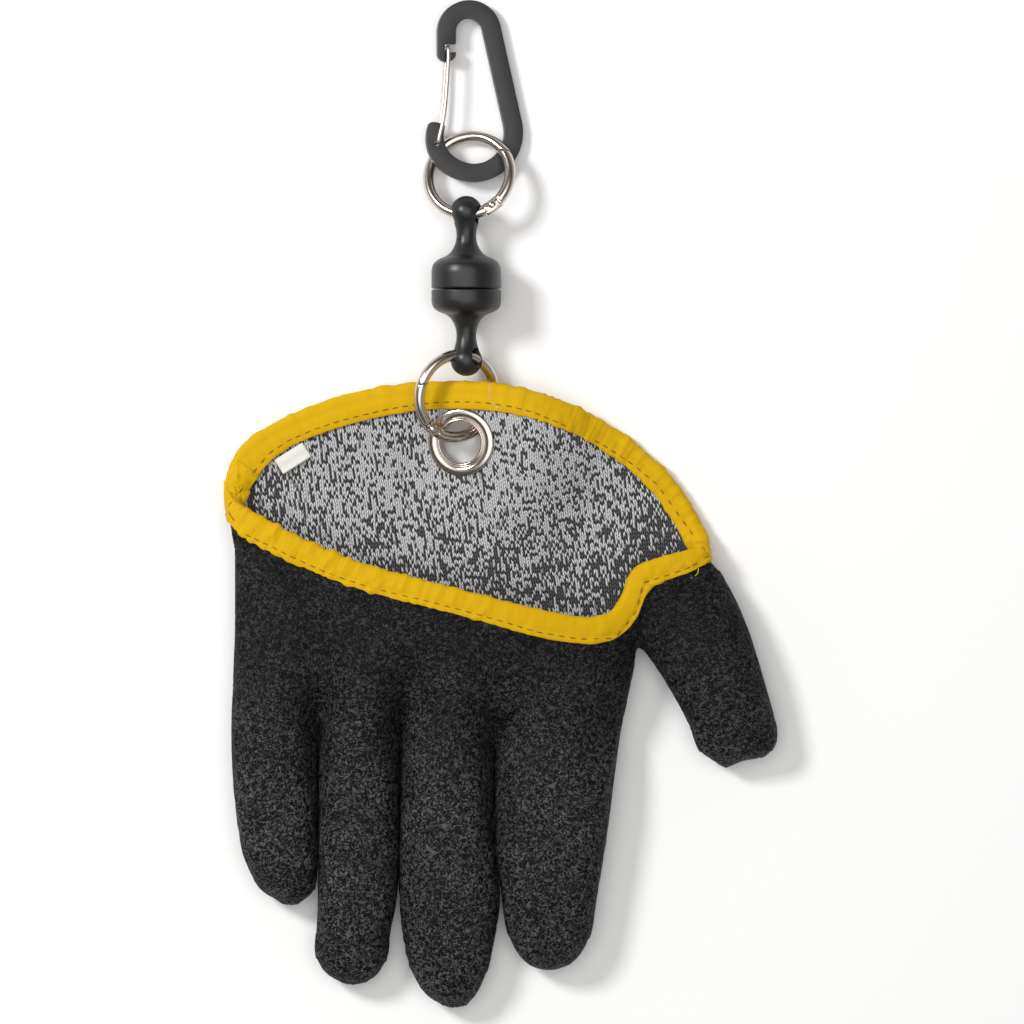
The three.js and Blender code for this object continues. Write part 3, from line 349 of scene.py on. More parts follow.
def plated_nickel(name, colour, roughness):
    """Bright nickel on a barrel-tumbled casting: clear reflections, faint scratches and soft wear."""
    tree, shader, place = new_material(name, Metallic=1.0, Base_Color=colour)
    drawn = add(tree, "ShaderNodeMapping", {"Vector": place, "Scale": (1.0, 0.25, 1.0)})
    haze = add(tree, "ShaderNodeTexNoise", {"Vector": drawn, "Scale": every(2.0), "Detail": 4.0})
    rough = add(tree, "ShaderNodeMapRange", [haze, 0.0, 1.0, roughness * 0.7, roughness * 1.4])
    ripple = add(tree, "ShaderNodeTexNoise", {"Vector": place, "Scale": every(3.846), "Detail": 2.0})
    bump = add(tree, "ShaderNodeBump", {"Strength": 0.08, "Distance": 0.1 * MM, "Height": ripple})
    tree.links.new(rough, shader["Roughness"])
    tree.links.new(bump, shader["Normal"])


def satin_black(name, colour, roughness, grain):
    """Black fitting with a fine moulded or bead-blasted skin: a broad soft shine and slight rub marks."""
    tree, shader, place = new_material(name, Base_Color=colour, IOR=1.5)
    rub = add(tree, "ShaderNodeTexNoise", {"Vector": place, "Scale": every(4.545), "Detail": 3.0})
    rough = add(tree, "ShaderNodeMapRange", [rub, 0.0, 1.0, roughness * 0.85, roughness * 1.2])
    skin = add(tree, "ShaderNodeTexNoise", {"Vector": place, "Scale": every(grain), "Detail": 1.0})
    bump = add(tree, "ShaderNodeBump", {"Strength": 0.12, "Distance": 0.05 * MM, "Height": skin})
    tree.links.new(rough, shader["Roughness"])
    tree.links.new(bump, shader["Normal"])


def white_card(name, colour):
    """Matt white card: an even pale face with a barely felt fibre."""
    tree, shader, place = new_material(name, Roughness=0.9, Base_Color=colour)
    fibre = add(tree, "ShaderNodeTexNoise", {"Vector": place, "Scale": every(1.111)})
    bump = add(tree, "ShaderNodeBump", {"Strength": 0.05, "Distance": 0.1 * MM, "Height": fibre})
    tree.links.new(bump, shader["Normal"])


# Making pieces

def mesh_of(bm, name="part"):
    """The bmesh as a mesh."""
    mesh = bpy.data.meshes.new(name)
    bm.to_mesh(mesh)
    bm.free()
    return mesh


def held(data, name="holder"):
    """An object for its data, in the scene."""
    made = bpy.data.objects.new(name, data)
    bpy.context.collection.objects.link(made)
    return made


def finish_piece(mesh, name, body, material):
    """A piece from its mesh: it rides on a body and takes a slot's finish."""
    mesh.name = name
    mesh.materials.clear()
    mesh.materials.append(material)
    mesh.polygons.foreach_set("use_smooth", [True] * len(mesh.polygons))
    piece = held(mesh, name)
    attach(piece, body)
    return piece


def taken(holder):
    """The finished mesh of an object, which is then taken away."""
    graph = bpy.context.evaluated_depsgraph_get()
    made = bpy.data.meshes.new_from_object(holder.evaluated_get(graph))
    bpy.data.objects.remove(holder)
    return made


def baked(mesh, modifiers):
    """The mesh with modifiers applied. Each is a kind and its settings."""
    holder = held(mesh)
    for kind, settings in modifiers:
        modifier = holder.modifiers.new(kind.lower(), kind)
        for key, value in settings.items():
            setattr(modifier, key, value)
    return taken(holder)


def rounding(width, segments, angle):
    """A Bevel modifier's settings, for the edges that are sharper than an angle in degrees."""
    return {
        "width": width, "segments": segments, "limit_method": "ANGLE", "angle_limit": math.radians(angle),
    }


def cut(mesh, tools, edge, angle):
    """The mesh less its tools, with the edges that are sharper than an angle rounded."""
    cutters = [held(mesh_of(tool)) for tool in tools]
    made = baked(mesh, [
        *(("BOOLEAN", {"object": c, "operation": "DIFFERENCE", "solver": "EXACT"}) for c in cutters),
        ("BEVEL", rounding(edge, 3, angle)),
    ])
    for cutter in cutters:
        bpy.data.objects.remove(cutter)
    return made


def cloth_copy(node):
    """A CAD node's mesh, merged and joined back into four-sided faces."""
    bm = bmesh.new()
    bm.from_mesh(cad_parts[node].data)
    bmesh.ops.remove_doubles(bm, verts=bm.verts, dist=0.01 * MM)
    bmesh.ops.join_triangles(
        bm, faces=bm.faces, cmp_seam=False, cmp_sharp=False, cmp_uvs=False, cmp_vcols=False,
        cmp_materials=False, angle_face_threshold=1.0, angle_shape_threshold=3.1,
    )
    return bm


def search_tree(bm):
    """A search tree over the faces of a bmesh."""
    made = BVHTree.FromBMesh(bm)
    bm.free()
    return made


def tape_tree():
    """A search tree over the finished tape."""
    bm = bmesh.new()
    bm.from_mesh(bpy.data.objects["cuff_tape"].data)
    return search_tree(bm)


def refined(bm, levels, fits=0):
    """The mesh under Catmull-Clark subdivision. Each fit brings it nearer to the old vertices."""
    mesh = mesh_of(bm)
    goal = [v.co.copy() for v in mesh.vertices]
    for _ in range(fits):
        soft = baked(mesh, [("SUBSURF", {"levels": 1, "render_levels": 1})])
        for v, place, now in zip(mesh.vertices, goal, soft.vertices):
            v.co += (place - now.co) * 0.75
    made = bmesh.new()
    made.from_mesh(baked(mesh, [("SUBSURF", {"levels": levels, "render_levels": levels})]))
    return made


def clamp(value):
    return min(max(value, 0), 1)


# The hollows that run up from between the fingers into the palm, in mm: upper end, then lower end
HOLLOWS = [((-50.3, -49.0), (-52.1, -67.4)), ((-21.3, -44.5), (-28.3, -66.0)), ((8.0, -53.0), (-1.1, -71.8))]
# How deep a hollow is, half its width at its lower end, and how much wider it is at its upper end, in mm
SINK, NARROW, WIDEN = 4.6, 2.6, 1.6


def settle(point):
    """How far the cloth sinks between the fingers and draws in at the little finger's side."""
    x, y, z = (c / MM for c in point)
    low = 0.0
    close = 0.0
    for (xa, ya), (xb, yb) in HOLLOWS:
        t = (ya - y) / (ya - yb)
        side = x - xa - (xb - xa) * clamp(t)
        fade = clamp(t) * clamp(2.4 - t)
        low += SINK * fade * math.exp(-((side / (NARROW + WIDEN * (1 - min(t, 1)))) ** 2))
        # The two sides of a web close up
        near = clamp((t - 0.85) / 0.15) * clamp((2.2 - t) / 0.4)
        close -= 0.8 * side * near * math.exp(-((side / 1.5) ** 2))
    pull = clamp((-66 - x) / 8) * clamp((y + 62) / 25) * clamp((2 - y) / 6)
    # The cloth stays inside the tape at its left turn
    turn = math.exp(-((x + 78) ** 2 + (y - 12) ** 2) / 30)
    return Vector((0.9 * pull + close + 1.2 * turn, -0.6 * turn, -low * clamp((z - 5) / 7))) * MM


def clear_bore(bm, radius=7.1 * MM, half=4 * MM):
    """Keeps the cloth out of the eyelet's barrel."""
    back = EYELET.inverted()
    for v in bm.verts:
        local = back @ v.co
        reach = math.hypot(local.x, local.y)
        if reach < radius and abs(local.z) < half:
            v.co = EYELET @ Vector((local.x * radius / reach, local.y * radius / reach, local.z))


def crumple(point, width):
    """Worm-like relief from -1 to 1, with creases where the noise crosses zero."""
    bent = point + noise.noise_vector(point / (2.2 * width)) * 0.6 * width
    return min(abs(noise.noise(bent / (0.85 * width))) * 5, 1) * 2 - 1


# The fingers and the thumb, each between two places along X in mm
TIPS = [(-85, -53), (-53, -28.8), (-28.8, 2), (2, 34), (55, 90)]
# A fingertip starts beyond this place along Y
TIP_START = -72 * MM
# The coating's outer face lies further than this from the liner, in mm
OUTER = 0.75


def dome(tip, radius=3.8 * MM, length=4 * MM):
    """Rounds the flat end of a fingertip."""
    edge = min(v.co.y for v in tip)
    flat = [v.co.copy() for v in tip if v.co.y < edge + 0.5 * MM]
    middle = sum(flat, Vector()) / len(flat)
    for v in tip:
        away = min(math.hypot(v.co.x - middle.x, v.co.z - middle.z) / radius, 1.15)
        share = max(1 - (v.co.y - edge) / length, 0)
        v.co.y += (away * away - 0.55) * share * MM


class GLOVE_OT_coating(bpy.types.Operator):
    """Make the crinkled latex coating over the hand, fingers and thumb"""

    bl_idname = "glove.coating"
    bl_label = "Latex coating"

    def execute(self, context):
        cloth = context.scene.glove_cloth
        # The crinkle bends the same way each run
        noise.seed_set(1)
        liner = search_tree(cloth_copy("knit_liner"))
        bm = refined(cloth_copy("latex_coating"), 2, fits=2)
        faces = {f for v in bm.verts if liner.find_nearest(v.co)[3] > OUTER * MM for f in v.link_faces}
        edges = [e for e in bm.edges if any(f in faces for f in e.link_faces)]
        bmesh.ops.subdivide_edges(bm, edges=edges, cuts=1, use_grid_fill=True)
        bm.normal_update()
        tips = [v for v in bm.verts if v.normal.y < -0.3 and v.co.y < TIP_START]
        for low, high in TIPS:
            dome([v for v in tips if low < v.co.x / MM < high])
        for _ in range(25):
            bmesh.ops.smooth_vert(
                bm, verts=tips, factor=0.5, use_axis_x=True, use_axis_y=True, use_axis_z=True
            )
        bm.normal_update()
        ends = set(tips)
        moved = []
        for v in bm.verts:
            gap = liner.find_nearest(v.co)[3]
            if gap < OUTER * MM:
                continue
            # The fingertips are stretched smoother
            relief = cloth.crinkle * crumple(v.co, 1.7 * cloth.crinkle_width) * (0.4 if v in ends else 1)
            moved.append((v, v.co + v.normal * relief * min((gap / MM - OUTER) / 0.3, 1)))
        for v, place in moved:
            v.co = place
        for v in bm.verts:
            v.co += settle(v.co)
            v.co.z = max(v.co.z, 0.02 * MM)
        clear_bore(bm)
        material = finish_named(crinkled_latex, "crinkled latex", cloth)
        piece = finish_piece(mesh_of(bm), "glove_coating", "glove_side", material)
        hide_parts("latex_coating")
        return {"FINISHED"}


class GLOVE_OT_liner(bpy.types.Operator):
    """Make the marled knit liner that shows inside the open cuff"""

    bl_idname = "glove.liner"
    bl_label = "Knit liner"

    def execute(self, context):
        bm = refined(cloth_copy("knit_liner"), 2, fits=2)
        for v in bm.verts:
            v.co += settle(v.co)
        clear_bore(bm)
        material = finish_named(marled_knit, "marled cut-resistant knit", context.scene.glove_cloth)
        piece = finish_piece(mesh_of(bm), "glove_liner", "glove_side", material)
        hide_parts("knit_liner")
        return {"FINISHED"}


class Line:
    """The cuff's line, all round: places by length along the rim."""

    def __init__(self):
        self.rim = [Vector(p) * MM for p in RIM]
        self.hem = [Vector(p) * MM for p in HEM]
        self.marks = [0.0]
        for i, here in enumerate(self.rim):
            self.marks.append(self.marks[-1] + (self.rim[(i + 1) % len(self.rim)] - here).length)
        self.length = self.marks[-1]

    def at(self, along, share):
        """The place at a length along the rim, and at a share of the way from the rim to the hem."""
        along %= self.length
        i = max(k for k, mark in enumerate(self.marks[:-1]) if mark <= along)
        j = (i + 1) % len(self.rim)
        t = (along - self.marks[i]) / (self.marks[i + 1] - self.marks[i])
        return self.rim[i].lerp(self.rim[j], t).lerp(self.hem[i].lerp(self.hem[j], t), share)

    def nearest(self, point):
        """The length along the rim that lies nearest to a point, and the distance across from the rim."""
        best = (1e9, 0.0)
        for i, here in enumerate(self.rim):
            step = self.rim[(i + 1) % len(self.rim)] - here
            t = clamp((point - here).dot(step) / step.length_squared)
            gap = (point - here - step * t).length
            if gap < best[0]:
                best = (gap, self.marks[i] + step.length * t)
        return best[1], best[0]


# The folded tape's width, in mm
TAPE_WIDTH = 5.8
# How deep the tape puckers along the rim: length along it as a share, depth as a share
PUCKERS = [
    (0.0, 0.8), (0.05, 0.9), (0.12, 0.75), (0.2, 0.45), (0.3, 0.25), (0.38, 0.3), (0.43, 0.55), (0.5, 0.5),
    (0.6, 0.7), (0.68, 0.45), (0.78, 0.3), (0.86, 0.3), (0.93, 0.5), (0.97, 0.8), (1.0, 0.8),
]


def table_value(table, at):
    for (a, low), (b, high) in zip(table, table[1:]):
        if at <= b:
            return low + (high - low) * (at - a) / (b - a)
    return table[-1][1]


class GLOVE_OT_tape(bpy.types.Operator):
    """Make the puckered tape folded over the cuff's rim"""

    bl_idname = "glove.tape"
    bl_label = "Cuff tape"

    def execute(self, context):
        cloth = context.scene.glove_cloth
        line = Line()
        coat = search_tree(cloth_copy("latex_coating"))
        bm = refined(cloth_copy("cuff_binding"), 3)
        bm.normal_update()
        run = bm.loops.layers.uv.new("along")
        pucker = bm.verts.layers.float.new("pucker")
        places = {v: line.nearest(v.co) for v in bm.verts}
        for face in bm.faces:
            longest = max(places[v][0] for v in face.verts)
            for loop in face.loops:
                along, across = places[loop.vert]
                if longest - along > line.length / 2:
                    along += line.length
                loop[run].uv = (along * 10, across * 10)
        seam = TAPE_WIDTH * MM - cloth.stitch_inset
        moved = []
        for v in bm.verts:
            along, across = places[v]
            depth = table_value(PUCKERS, along / line.length)
            v[pucker] = depth
            # The inner fold lies against the coating and stays flat
            if coat.find_nearest(v.co)[3] < 0.6 * MM:
                continue
            wave = noise.noise(Vector(((along + 0.35 * across) / cloth.pucker_width, 0.2 * across / MM, 3.7)))
            fold = (abs(wave) * 2.2 - 0.45) * depth * cloth.pucker
            groove = math.exp(-((across - seam) / (0.55 * MM)) ** 2) * 0.32 * MM
            moved.append((v, v.co + v.normal * (fold - groove)))
        for v, place in moved:
            v.co = place
        for v in bm.verts:
            v.co.z = max(v.co.z, 0.05 * MM)
        material = finish_named(woven_tape, "polyester binding tape", cloth)
        piece = finish_piece(mesh_of(bm), "cuff_tape", "glove_side", material)
        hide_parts("cuff_binding")
        return {"FINISHED"}


def tube(path, radius, sides):
    """A round thread or wire along a smooth path, as a mesh."""
    curve = bpy.data.curves.new("path", "CURVE")
    curve.dimensions = "3D"
    curve.bevel_depth = radius
    curve.bevel_resolution = max(sides // 2 - 1, 1)
    curve.use_fill_caps = True
    spline = curve.splines.new("NURBS")
    spline.points.add(len(path) - 1)
    for spot, place in zip(spline.points, path):
        spot.co = (*place, 1)
    spline.use_endpoint_u = True
    spline.order_u = 3
    spline.resolution_u = 8
    return taken(held(curve))


class GLOVE_OT_stitches(bpy.types.Operator):
    """Sew the dashed line of stitches round the tape"""

    bl_idname = "glove.stitches"
    bl_label = "Stitches"

    def execute(self, context):
        cloth = context.scene.glove_cloth
        line = Line()
        surface = tape_tree()
        bm = bmesh.new()
        grown = Matrix.Diagonal((cloth.thread, cloth.thread, cloth.stitch / 2, 1))
        count = round(line.length / cloth.stitch_pitch)
        for i in range(count):
            along = line.length * i / count
            ends = [self.seat_of(line, surface, along + s * cloth.stitch / 2, cloth) for s in (-1, 1)]
            # No stitch shows where the tape turns down too steeply
            if None in ends or abs(ends[0].z - ends[1].z) > 0.45 * cloth.stitch:
                continue
            turn = UP.rotation_difference((ends[1] - ends[0]).normalized()).to_matrix().to_4x4()
            made = bmesh.ops.create_uvsphere(bm, u_segments=8, v_segments=6, radius=1)["verts"]
            matrix = Matrix.Translation((ends[0] + ends[1]) / 2) @ turn @ grown
            bmesh.ops.transform(bm, verts=made, matrix=matrix)
        material = finish_named(sewing_thread, "spun polyester thread", cloth.thread_colour)
        finish_piece(mesh_of(bm), "tape_stitches", "glove_side", material)
        return {"FINISHED"}

    @staticmethod
    def seat_of(line, surface, along, cloth):
        """A stitch's end on the tape's upper face."""
        width = (line.at(along, 1) - line.at(along, 0)).length
        place = line.at(along, 1 - cloth.stitch_inset / width)
        hit = surface.ray_cast(place + UP * 0.05, -UP)[0]
        return hit and hit + UP * 0.4 * cloth.thread


# The loose threads at the tape's join and near the thumb: x, y in mm, height in mm where a thread stands off
# the tape, share of the thread's radius, finish and colour
THREADS = {
    "join_thread_1": (
        [(-2.6, 35.4), (-2.2, 34.2), (-2.5, 33.0), (-2.1, 31.8), (-2.3, 30.8), (-1.9, 29.6)],
        10, 0.6, "loose thread", "tail_colour",
    ),
    "join_thread_2": (
        [(-1.9, 29.2), (-1.2, 28.6), (-0.9, 27.8), (-0.2, 27.3), (0.5, 27.4)],
        10, 0.6, "loose thread", "tail_colour",
    ),
    "loop_thread": (
        [(52.6, -19.4), (53.4, -21.4), (55.2, -22.0), (57.0, -21.3), (58.2, -19.6), (57.6, -18.2)],
        14.2, 0.8, "yellow thread", "tape_colour",
    ),
}


class GLOVE_OT_threads(bpy.types.Operator):
    """Lay the loose threads at the tape's join and the loop near the thumb"""

    bl_idname = "glove.threads"
    bl_label = "Loose threads"

    def execute(self, context):
        cloth = context.scene.glove_cloth
        surface = tape_tree()
        for name, (route, height, share, finish, colour) in THREADS.items():
            material = finish_named(sewing_thread, finish, getattr(cloth, colour))
            path = [self.lay(surface, x, y, height, cloth.thread) for x, y in route]
            finish_piece(tube(path, share * cloth.thread, 6), name, "glove_side", material)
        return {"FINISHED"}

    @staticmethod
    def lay(surface, x, y, height, radius):
        """A place on the tape's upper face, or at a height where the thread stands off it."""
        hit = surface.ray_cast(Vector((x * MM, y * MM, 0.05)), -UP)[0]
        return Vector((x, y, height)) * MM if hit is None else hit + UP * radius


class GLOVE_OT_label(bpy.types.Operator):
    """Make the small plain label sewn in under the tape"""

    bl_idname = "glove.label"
    bl_label = "Label"

    def execute(self, context):
        corners = [v.co.copy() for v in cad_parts["size_label"].data.vertices]
        low = min(c.z for c in corners)
        flat = []
        for c in corners:
            spot = Vector((c.x, c.y, low))
            if all((spot - other).length > 0.1 * MM for other in flat):
                flat.append(spot)
        middle = sum(flat, Vector()) / 4
        flat.sort(key=lambda c: math.atan2(c.y - middle.y, c.x - middle.x))
        longest = max(range(4), key=lambda i: (flat[i] - flat[i - 1]).length)
        way = flat[longest] - flat[longest - 1]
        other = flat[(longest + 1) % 4] - flat[longest]
        turn = Matrix((
            (way.x, other.x, 0, middle.x), (way.y, other.y, 0, middle.y),
            (0, 0, 1, low + 0.1 * MM), (0, 0, 0, 1),
        ))
        bm = bmesh.new()
        bmesh.ops.create_grid(bm, x_segments=16, y_segments=8, size=0.5)
        for v in bm.verts:
            v.co.z = 0.3 * MM * (1 - (2 * v.co.x) ** 2) * 0.5 + 0.1 * MM * math.sin(9 * v.co.y)
        bmesh.ops.transform(bm, matrix=turn, verts=bm.verts)
        material = finish_named(satin_label, "woven satin label")
        piece = finish_piece(mesh_of(bm), "size_tab", "glove_side", material)
        wall = piece.modifiers.new("wall", "SOLIDIFY")
        wall.thickness = 0.25 * MM
        wall.offset = 0
        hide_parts("size_label")
        return {"FINISHED"}


def only(geom, kind):
    return [g for g in geom if isinstance(g, kind)]


def swept(bm, geom, centre, angle, steps, merge=False):
    """Turns an outline round an upright axis. Returns where it ends."""
    return bmesh.ops.spin(
        bm, geom=geom, cent=centre, axis=(0, 0, 1), angle=angle, steps=steps, use_merge=merge
    )["geom_last"]


def turned(profile, steps, matrix=Matrix()):
    """A turned piece about Z from a profile of radius and height in mm."""
    bm = bmesh.new()
    verts = [bm.verts.new(Vector((r, 0, z)) * MM) for r, z in profile]
    edges = [bm.edges.new(pair) for pair in zip(verts, verts[1:])]
    swept(bm, verts + edges, (0, 0, 0), 2 * math.pi, steps, merge=True)
    bmesh.ops.remove_doubles(bm, verts=bm.verts, dist=0.002 * MM)
    bmesh.ops.recalc_face_normals(bm, faces=bm.faces)
    bmesh.ops.transform(bm, matrix=matrix, verts=bm.verts)
    return bm


def rounded(profile, radius, steps=4):
    """A profile in mm with its inner corners rounded by up to a radius."""
    made = [profile[0]]
    for before, here, after in zip(profile, profile[1:], profile[2:]):
        a, b, c = Vector(before), Vector(here), Vector(after)
        reach = min(radius, (a - b).length * 0.45, (c - b).length * 0.45)
        start = b + (a - b).normalized() * reach
        end = b + (c - b).normalized() * reach
        for k in range(steps + 1):
            t = k / steps
            made.append(tuple(start.lerp(b, t).lerp(b.lerp(end, t), t)))
    made.append(profile[-1])
    return made


def bright_nickel(fittings):
    return finish_named(plated_nickel, "bright nickel plate", fittings.nickel_colour, 0.17)


class GLOVE_OT_eyelet(bpy.types.Operator):
    """Turn the eyelet's beaded flange, its barrel and the washer behind the cuff"""

    bl_idname = "glove.eyelet"
    bl_label = "Eyelet"

    def execute(self, context):
        fittings = context.scene.glove_fittings
        material = bright_nickel(fittings)
        # Radius and height in mm, round each section and back to its start
        bore = fittings.eyelet_bore / MM
        flange = [
            (bore, -1.85), (bore + 0.5, -1.85), (bore + 0.5, 1.45), (9.5, 1.45), (9.85, 1.5), (9.8, 1.8),
            (9.35, 2.08), (8.5, 2.22), (7.8, 2.15), (7.35, 1.95), (7.15, 1.75), (7.0, 1.95), (6.8, 2.3),
            (6.45, 2.38), (bore, 2.1), (bore, -1.85),
        ]
        washer = [
            (6.9, -1.5), (6.9, -1.8), (7.3, -1.87), (8.3, -1.85), (8.6, -1.75), (8.6, -1.45), (6.9, -1.45),
            (6.9, -1.5),
        ]
        front = mesh_of(turned(rounded(flange, 0.3), 72, EYELET))
        piece = finish_piece(front, "eyelet_front", "glove_side", material)
        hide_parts("eyelet_flange")
        back = mesh_of(turned(rounded(washer, 0.12), 72, EYELET))
        piece = finish_piece(back, "eyelet_back", "glove_side", material)
        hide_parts("eyelet_washer")
        return {"FINISHED"}


def bent_wire(bm, radius, wire, start, end, low=-1, high=1):
    """Wire bent round Z from one angle to another, flattened to between two heights."""
    verts = bmesh.ops.create_circle(bm, cap_ends=False, segments=20, radius=wire)["verts"]
    for v in verts:
        v.co.z = min(max(v.co.y, low), high)
        v.co.y = 0
    bmesh.ops.translate(bm, vec=(radius, 0, 0), verts=verts)
    bmesh.ops.rotate(bm, cent=(0, 0, 0), matrix=Matrix.Rotation(start, 3, "Z"), verts=verts)
    ring = set(verts)
    edges = [e for e in bm.edges if e.verts[0] in ring]
    steps = max(round(abs(end - start) / math.radians(4)), 2)
    last = swept(bm, verts + edges, (0, 0, 0), end - start, steps)
    for rim in (edges, only(last, bmesh.types.BMEdge)):
        bmesh.ops.contextual_create(bm, geom=rim)


def lean_mouth(bm, radius, mouth, pin, reach):
    """Leans the wire's end at the mouth so that it lies square to the line from the pin."""
    place = Vector((math.cos(mouth), math.sin(mouth), 0)) * radius
    chord = (place - pin).normalized()
    out = place.normalized()
    lean = out.dot(chord) / UP.cross(out).dot(chord)
    for v in bm.verts:
        angle = (math.atan2(v.co.y, v.co.x) - mouth + math.pi) % (2 * math.pi) - math.pi
        share = 1 - abs(angle) / reach
        if share <= 0:
            continue
        flat = Vector((v.co.x, v.co.y, 0))
        v.co -= UP.cross(flat.normalized()) * (flat.length - radius) * lean * share


def rivet(bm, place, half, radius=0.5, head=1.25):
    """A pin through the hinge with a low domed head at each end, in mm."""
    profile = [
        (0, -half - 0.5), (0.35 * head, -half - 0.46), (0.7 * head, -half - 0.32), (head, -half),
        (head, -half + 0.4), (radius, -half + 0.4),
    ]
    whole = profile + [(r, -z) for r, z in reversed(profile)]
    bm.from_mesh(mesh_of(turned(whole, 24, Matrix.Translation(place))))


class GLOVE_OT_rings(bpy.types.Operator):
    """Bend the two spring rings, each with a hinged gate"""

    bl_idname = "glove.rings"
    bl_label = "Spring rings"

    def execute(self, context):
        fittings = context.scene.glove_fittings
        # Each ring's place, its hinge and its mouth in degrees round it, and the bodies of ring and gate
        rings = [
            ("lower_ring", LOWER_RING, 230, 160, "glove_side", "lower_gate"),
            ("upper_ring", UPPER_RING, -53, 34.5, "clip_side", "upper_gate"),
        ]
        for name, matrix, hinge, mouth, *bodies in rings:
            shapes = self.bend(fittings, math.radians(hinge), math.radians(mouth))
            for part, bm, body in zip(("body", "gate"), shapes, bodies):
                bmesh.ops.recalc_face_normals(bm, faces=bm.faces)
                bmesh.ops.transform(bm, matrix=matrix, verts=bm.verts)
                mesh = mesh_of(bm)
                piece = finish_piece(mesh, f"{name}_{part}_wire", body, bright_nickel(fittings))
                edge = piece.modifiers.new("edge", "BEVEL")
                for key, value in rounding(0.14 * MM, 2, 40).items():
                    setattr(edge, key, value)
                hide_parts(f"{name}_{part}")
        return {"FINISHED"}

    @staticmethod
    def bend(fittings, hinge, mouth):
        """The ring's body, with two cheeks at the hinge, and its gate, with a tongue between them."""
        radius = fittings.ring_radius
        wire = fittings.ring_wire
        clear = fittings.clearance
        way = math.copysign(1, mouth - hinge)
        reach = way * 1.35 * wire / radius
        gap = way * clear / radius
        cheek = 0.75 * MM
        tongue = wire - cheek - clear
        pin = Vector((math.cos(hinge), math.sin(hinge), 0)) * radius
        lean = math.radians(22)
        body = bmesh.new()
        bent_wire(body, radius, wire, hinge - reach - gap, mouth + gap - way * 2 * math.pi)
        for side in (1, -1):
            low, high = sorted((side * (tongue + clear), side * wire))
            bent_wire(body, radius, wire, hinge - reach - gap, hinge + reach, low, high)
        lean_mouth(body, radius, mouth + gap, pin, lean)
        rivet(body, pin, wire / MM)
        gate = bmesh.new()
        bent_wire(gate, radius, wire, hinge + reach + gap, mouth)
        lean_mouth(gate, radius, mouth, pin, lean)
        bent_wire(gate, radius, wire, hinge - reach, hinge + reach + gap, -tongue, tongue)
        return body, gate


class GLOVE_OT_release(bpy.types.Operator):
    """Turn the two halves of the magnetic release"""

    bl_idname = "glove.release"
    bl_label = "Magnetic release"

    def execute(self, context):
        fittings = context.scene.glove_fittings
        material = finish_named(satin_black, "black moulded nylon", fittings.release_colour, 0.36, 0.12)
        # Each half's side of the split, and its length, disc and shoulder in mm
        halves = [
            ("upper", 1, 26.8, 6.0, 3.4, "clip_side"),
            ("lower", -1, 25.0, 4.2, 3.0, "glove_side"),
        ]
        for name, side, length, disc, shoulder, body in halves:
            mesh = self.half(length, disc, shoulder)
            mesh.transform(
                Matrix.Translation(SPLIT + Vector((0, side * fittings.clearance / 2, 0)))
                @ Matrix.Rotation(RELEASE_TURN[name], 4, "Y") @ Matrix.Rotation(-side * math.pi / 2, 4, "X")
            )
            piece = finish_piece(mesh, f"release_{name}_half", body, material)
            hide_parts(f"release_{name}")
        return {"FINISHED"}

    @staticmethod
    def half(length, disc, shoulder, ball=4.6, bore=2.9):
        """One half about Z, from its flat face up to the ball that the ring passes through, in mm."""
        middle = length - ball
        start = math.asin(3.2 / ball)
        top = disc + shoulder
        neck = (top + 2.4 + middle - ball * math.cos(start)) / 2
        profile = rounded([
            (0, 0), (9.8, 0), (10.1, 0.3), (10.1, disc - 0.6), (9.6, disc + 0.35 * shoulder),
            (8.5, disc + 0.65 * shoulder), (7.2, disc + 0.85 * shoulder), (5.8, top), (4.6, top + 1.0),
            (3.8, top + 2.2), (3.1, top + 3.8), (2.8, neck), (3.0, neck + 1.8),
        ], 1.3, 6)
        steps = 14
        for k in range(1, steps + 1):
            angle = start + (math.pi - start) * k / steps
            profile.append((max(ball * math.sin(angle), 0), middle - ball * math.cos(angle)))
        drill = bmesh.new()
        bmesh.ops.create_cone(
            drill, cap_ends=True, segments=40, radius1=bore * MM, radius2=bore * MM, depth=16 * MM,
            matrix=Matrix.Translation((0, 0, (middle - 0.7) * MM)) @ Matrix.Rotation(math.pi / 2, 4, "Y"),
        )
        return cut(mesh_of(turned(profile, 64)), [drill], 0.3 * MM, 50)


# The clip's outline, in mm from the middle of its bowl: its middle line's two radii, how the upper bowl lies
# and how far the nose reaches down. Then the wire gate's hole and the bar where its loop rests.
BOWL, CROWN, LEAN, REACH, NOSE = 11.9, 6.65, 1.1, 28.9, 8.6
PIVOT = (-10.6, -3.3)
BAR = (-7.45, 24.5)


def pulled(bm, geom, vec):
    """Extrudes an outline's edges along a way. Returns the new vertices and edges."""
    made = bmesh.ops.extrude_edge_only(bm, edges=only(geom, bmesh.types.BMEdge))["geom"]
    verts = only(made, bmesh.types.BMVert)
    bmesh.ops.translate(bm, vec=vec, verts=verts)
    return verts, [e for e in only(made, bmesh.types.BMEdge) if all(v in verts for v in e.verts)]


def block(size, place):
    """A block to cut with."""
    bm = bmesh.new()
    bmesh.ops.create_cube(bm, size=1, matrix=Matrix.Translation(place) @ Matrix.Diagonal((*size, 1)))
    return bm


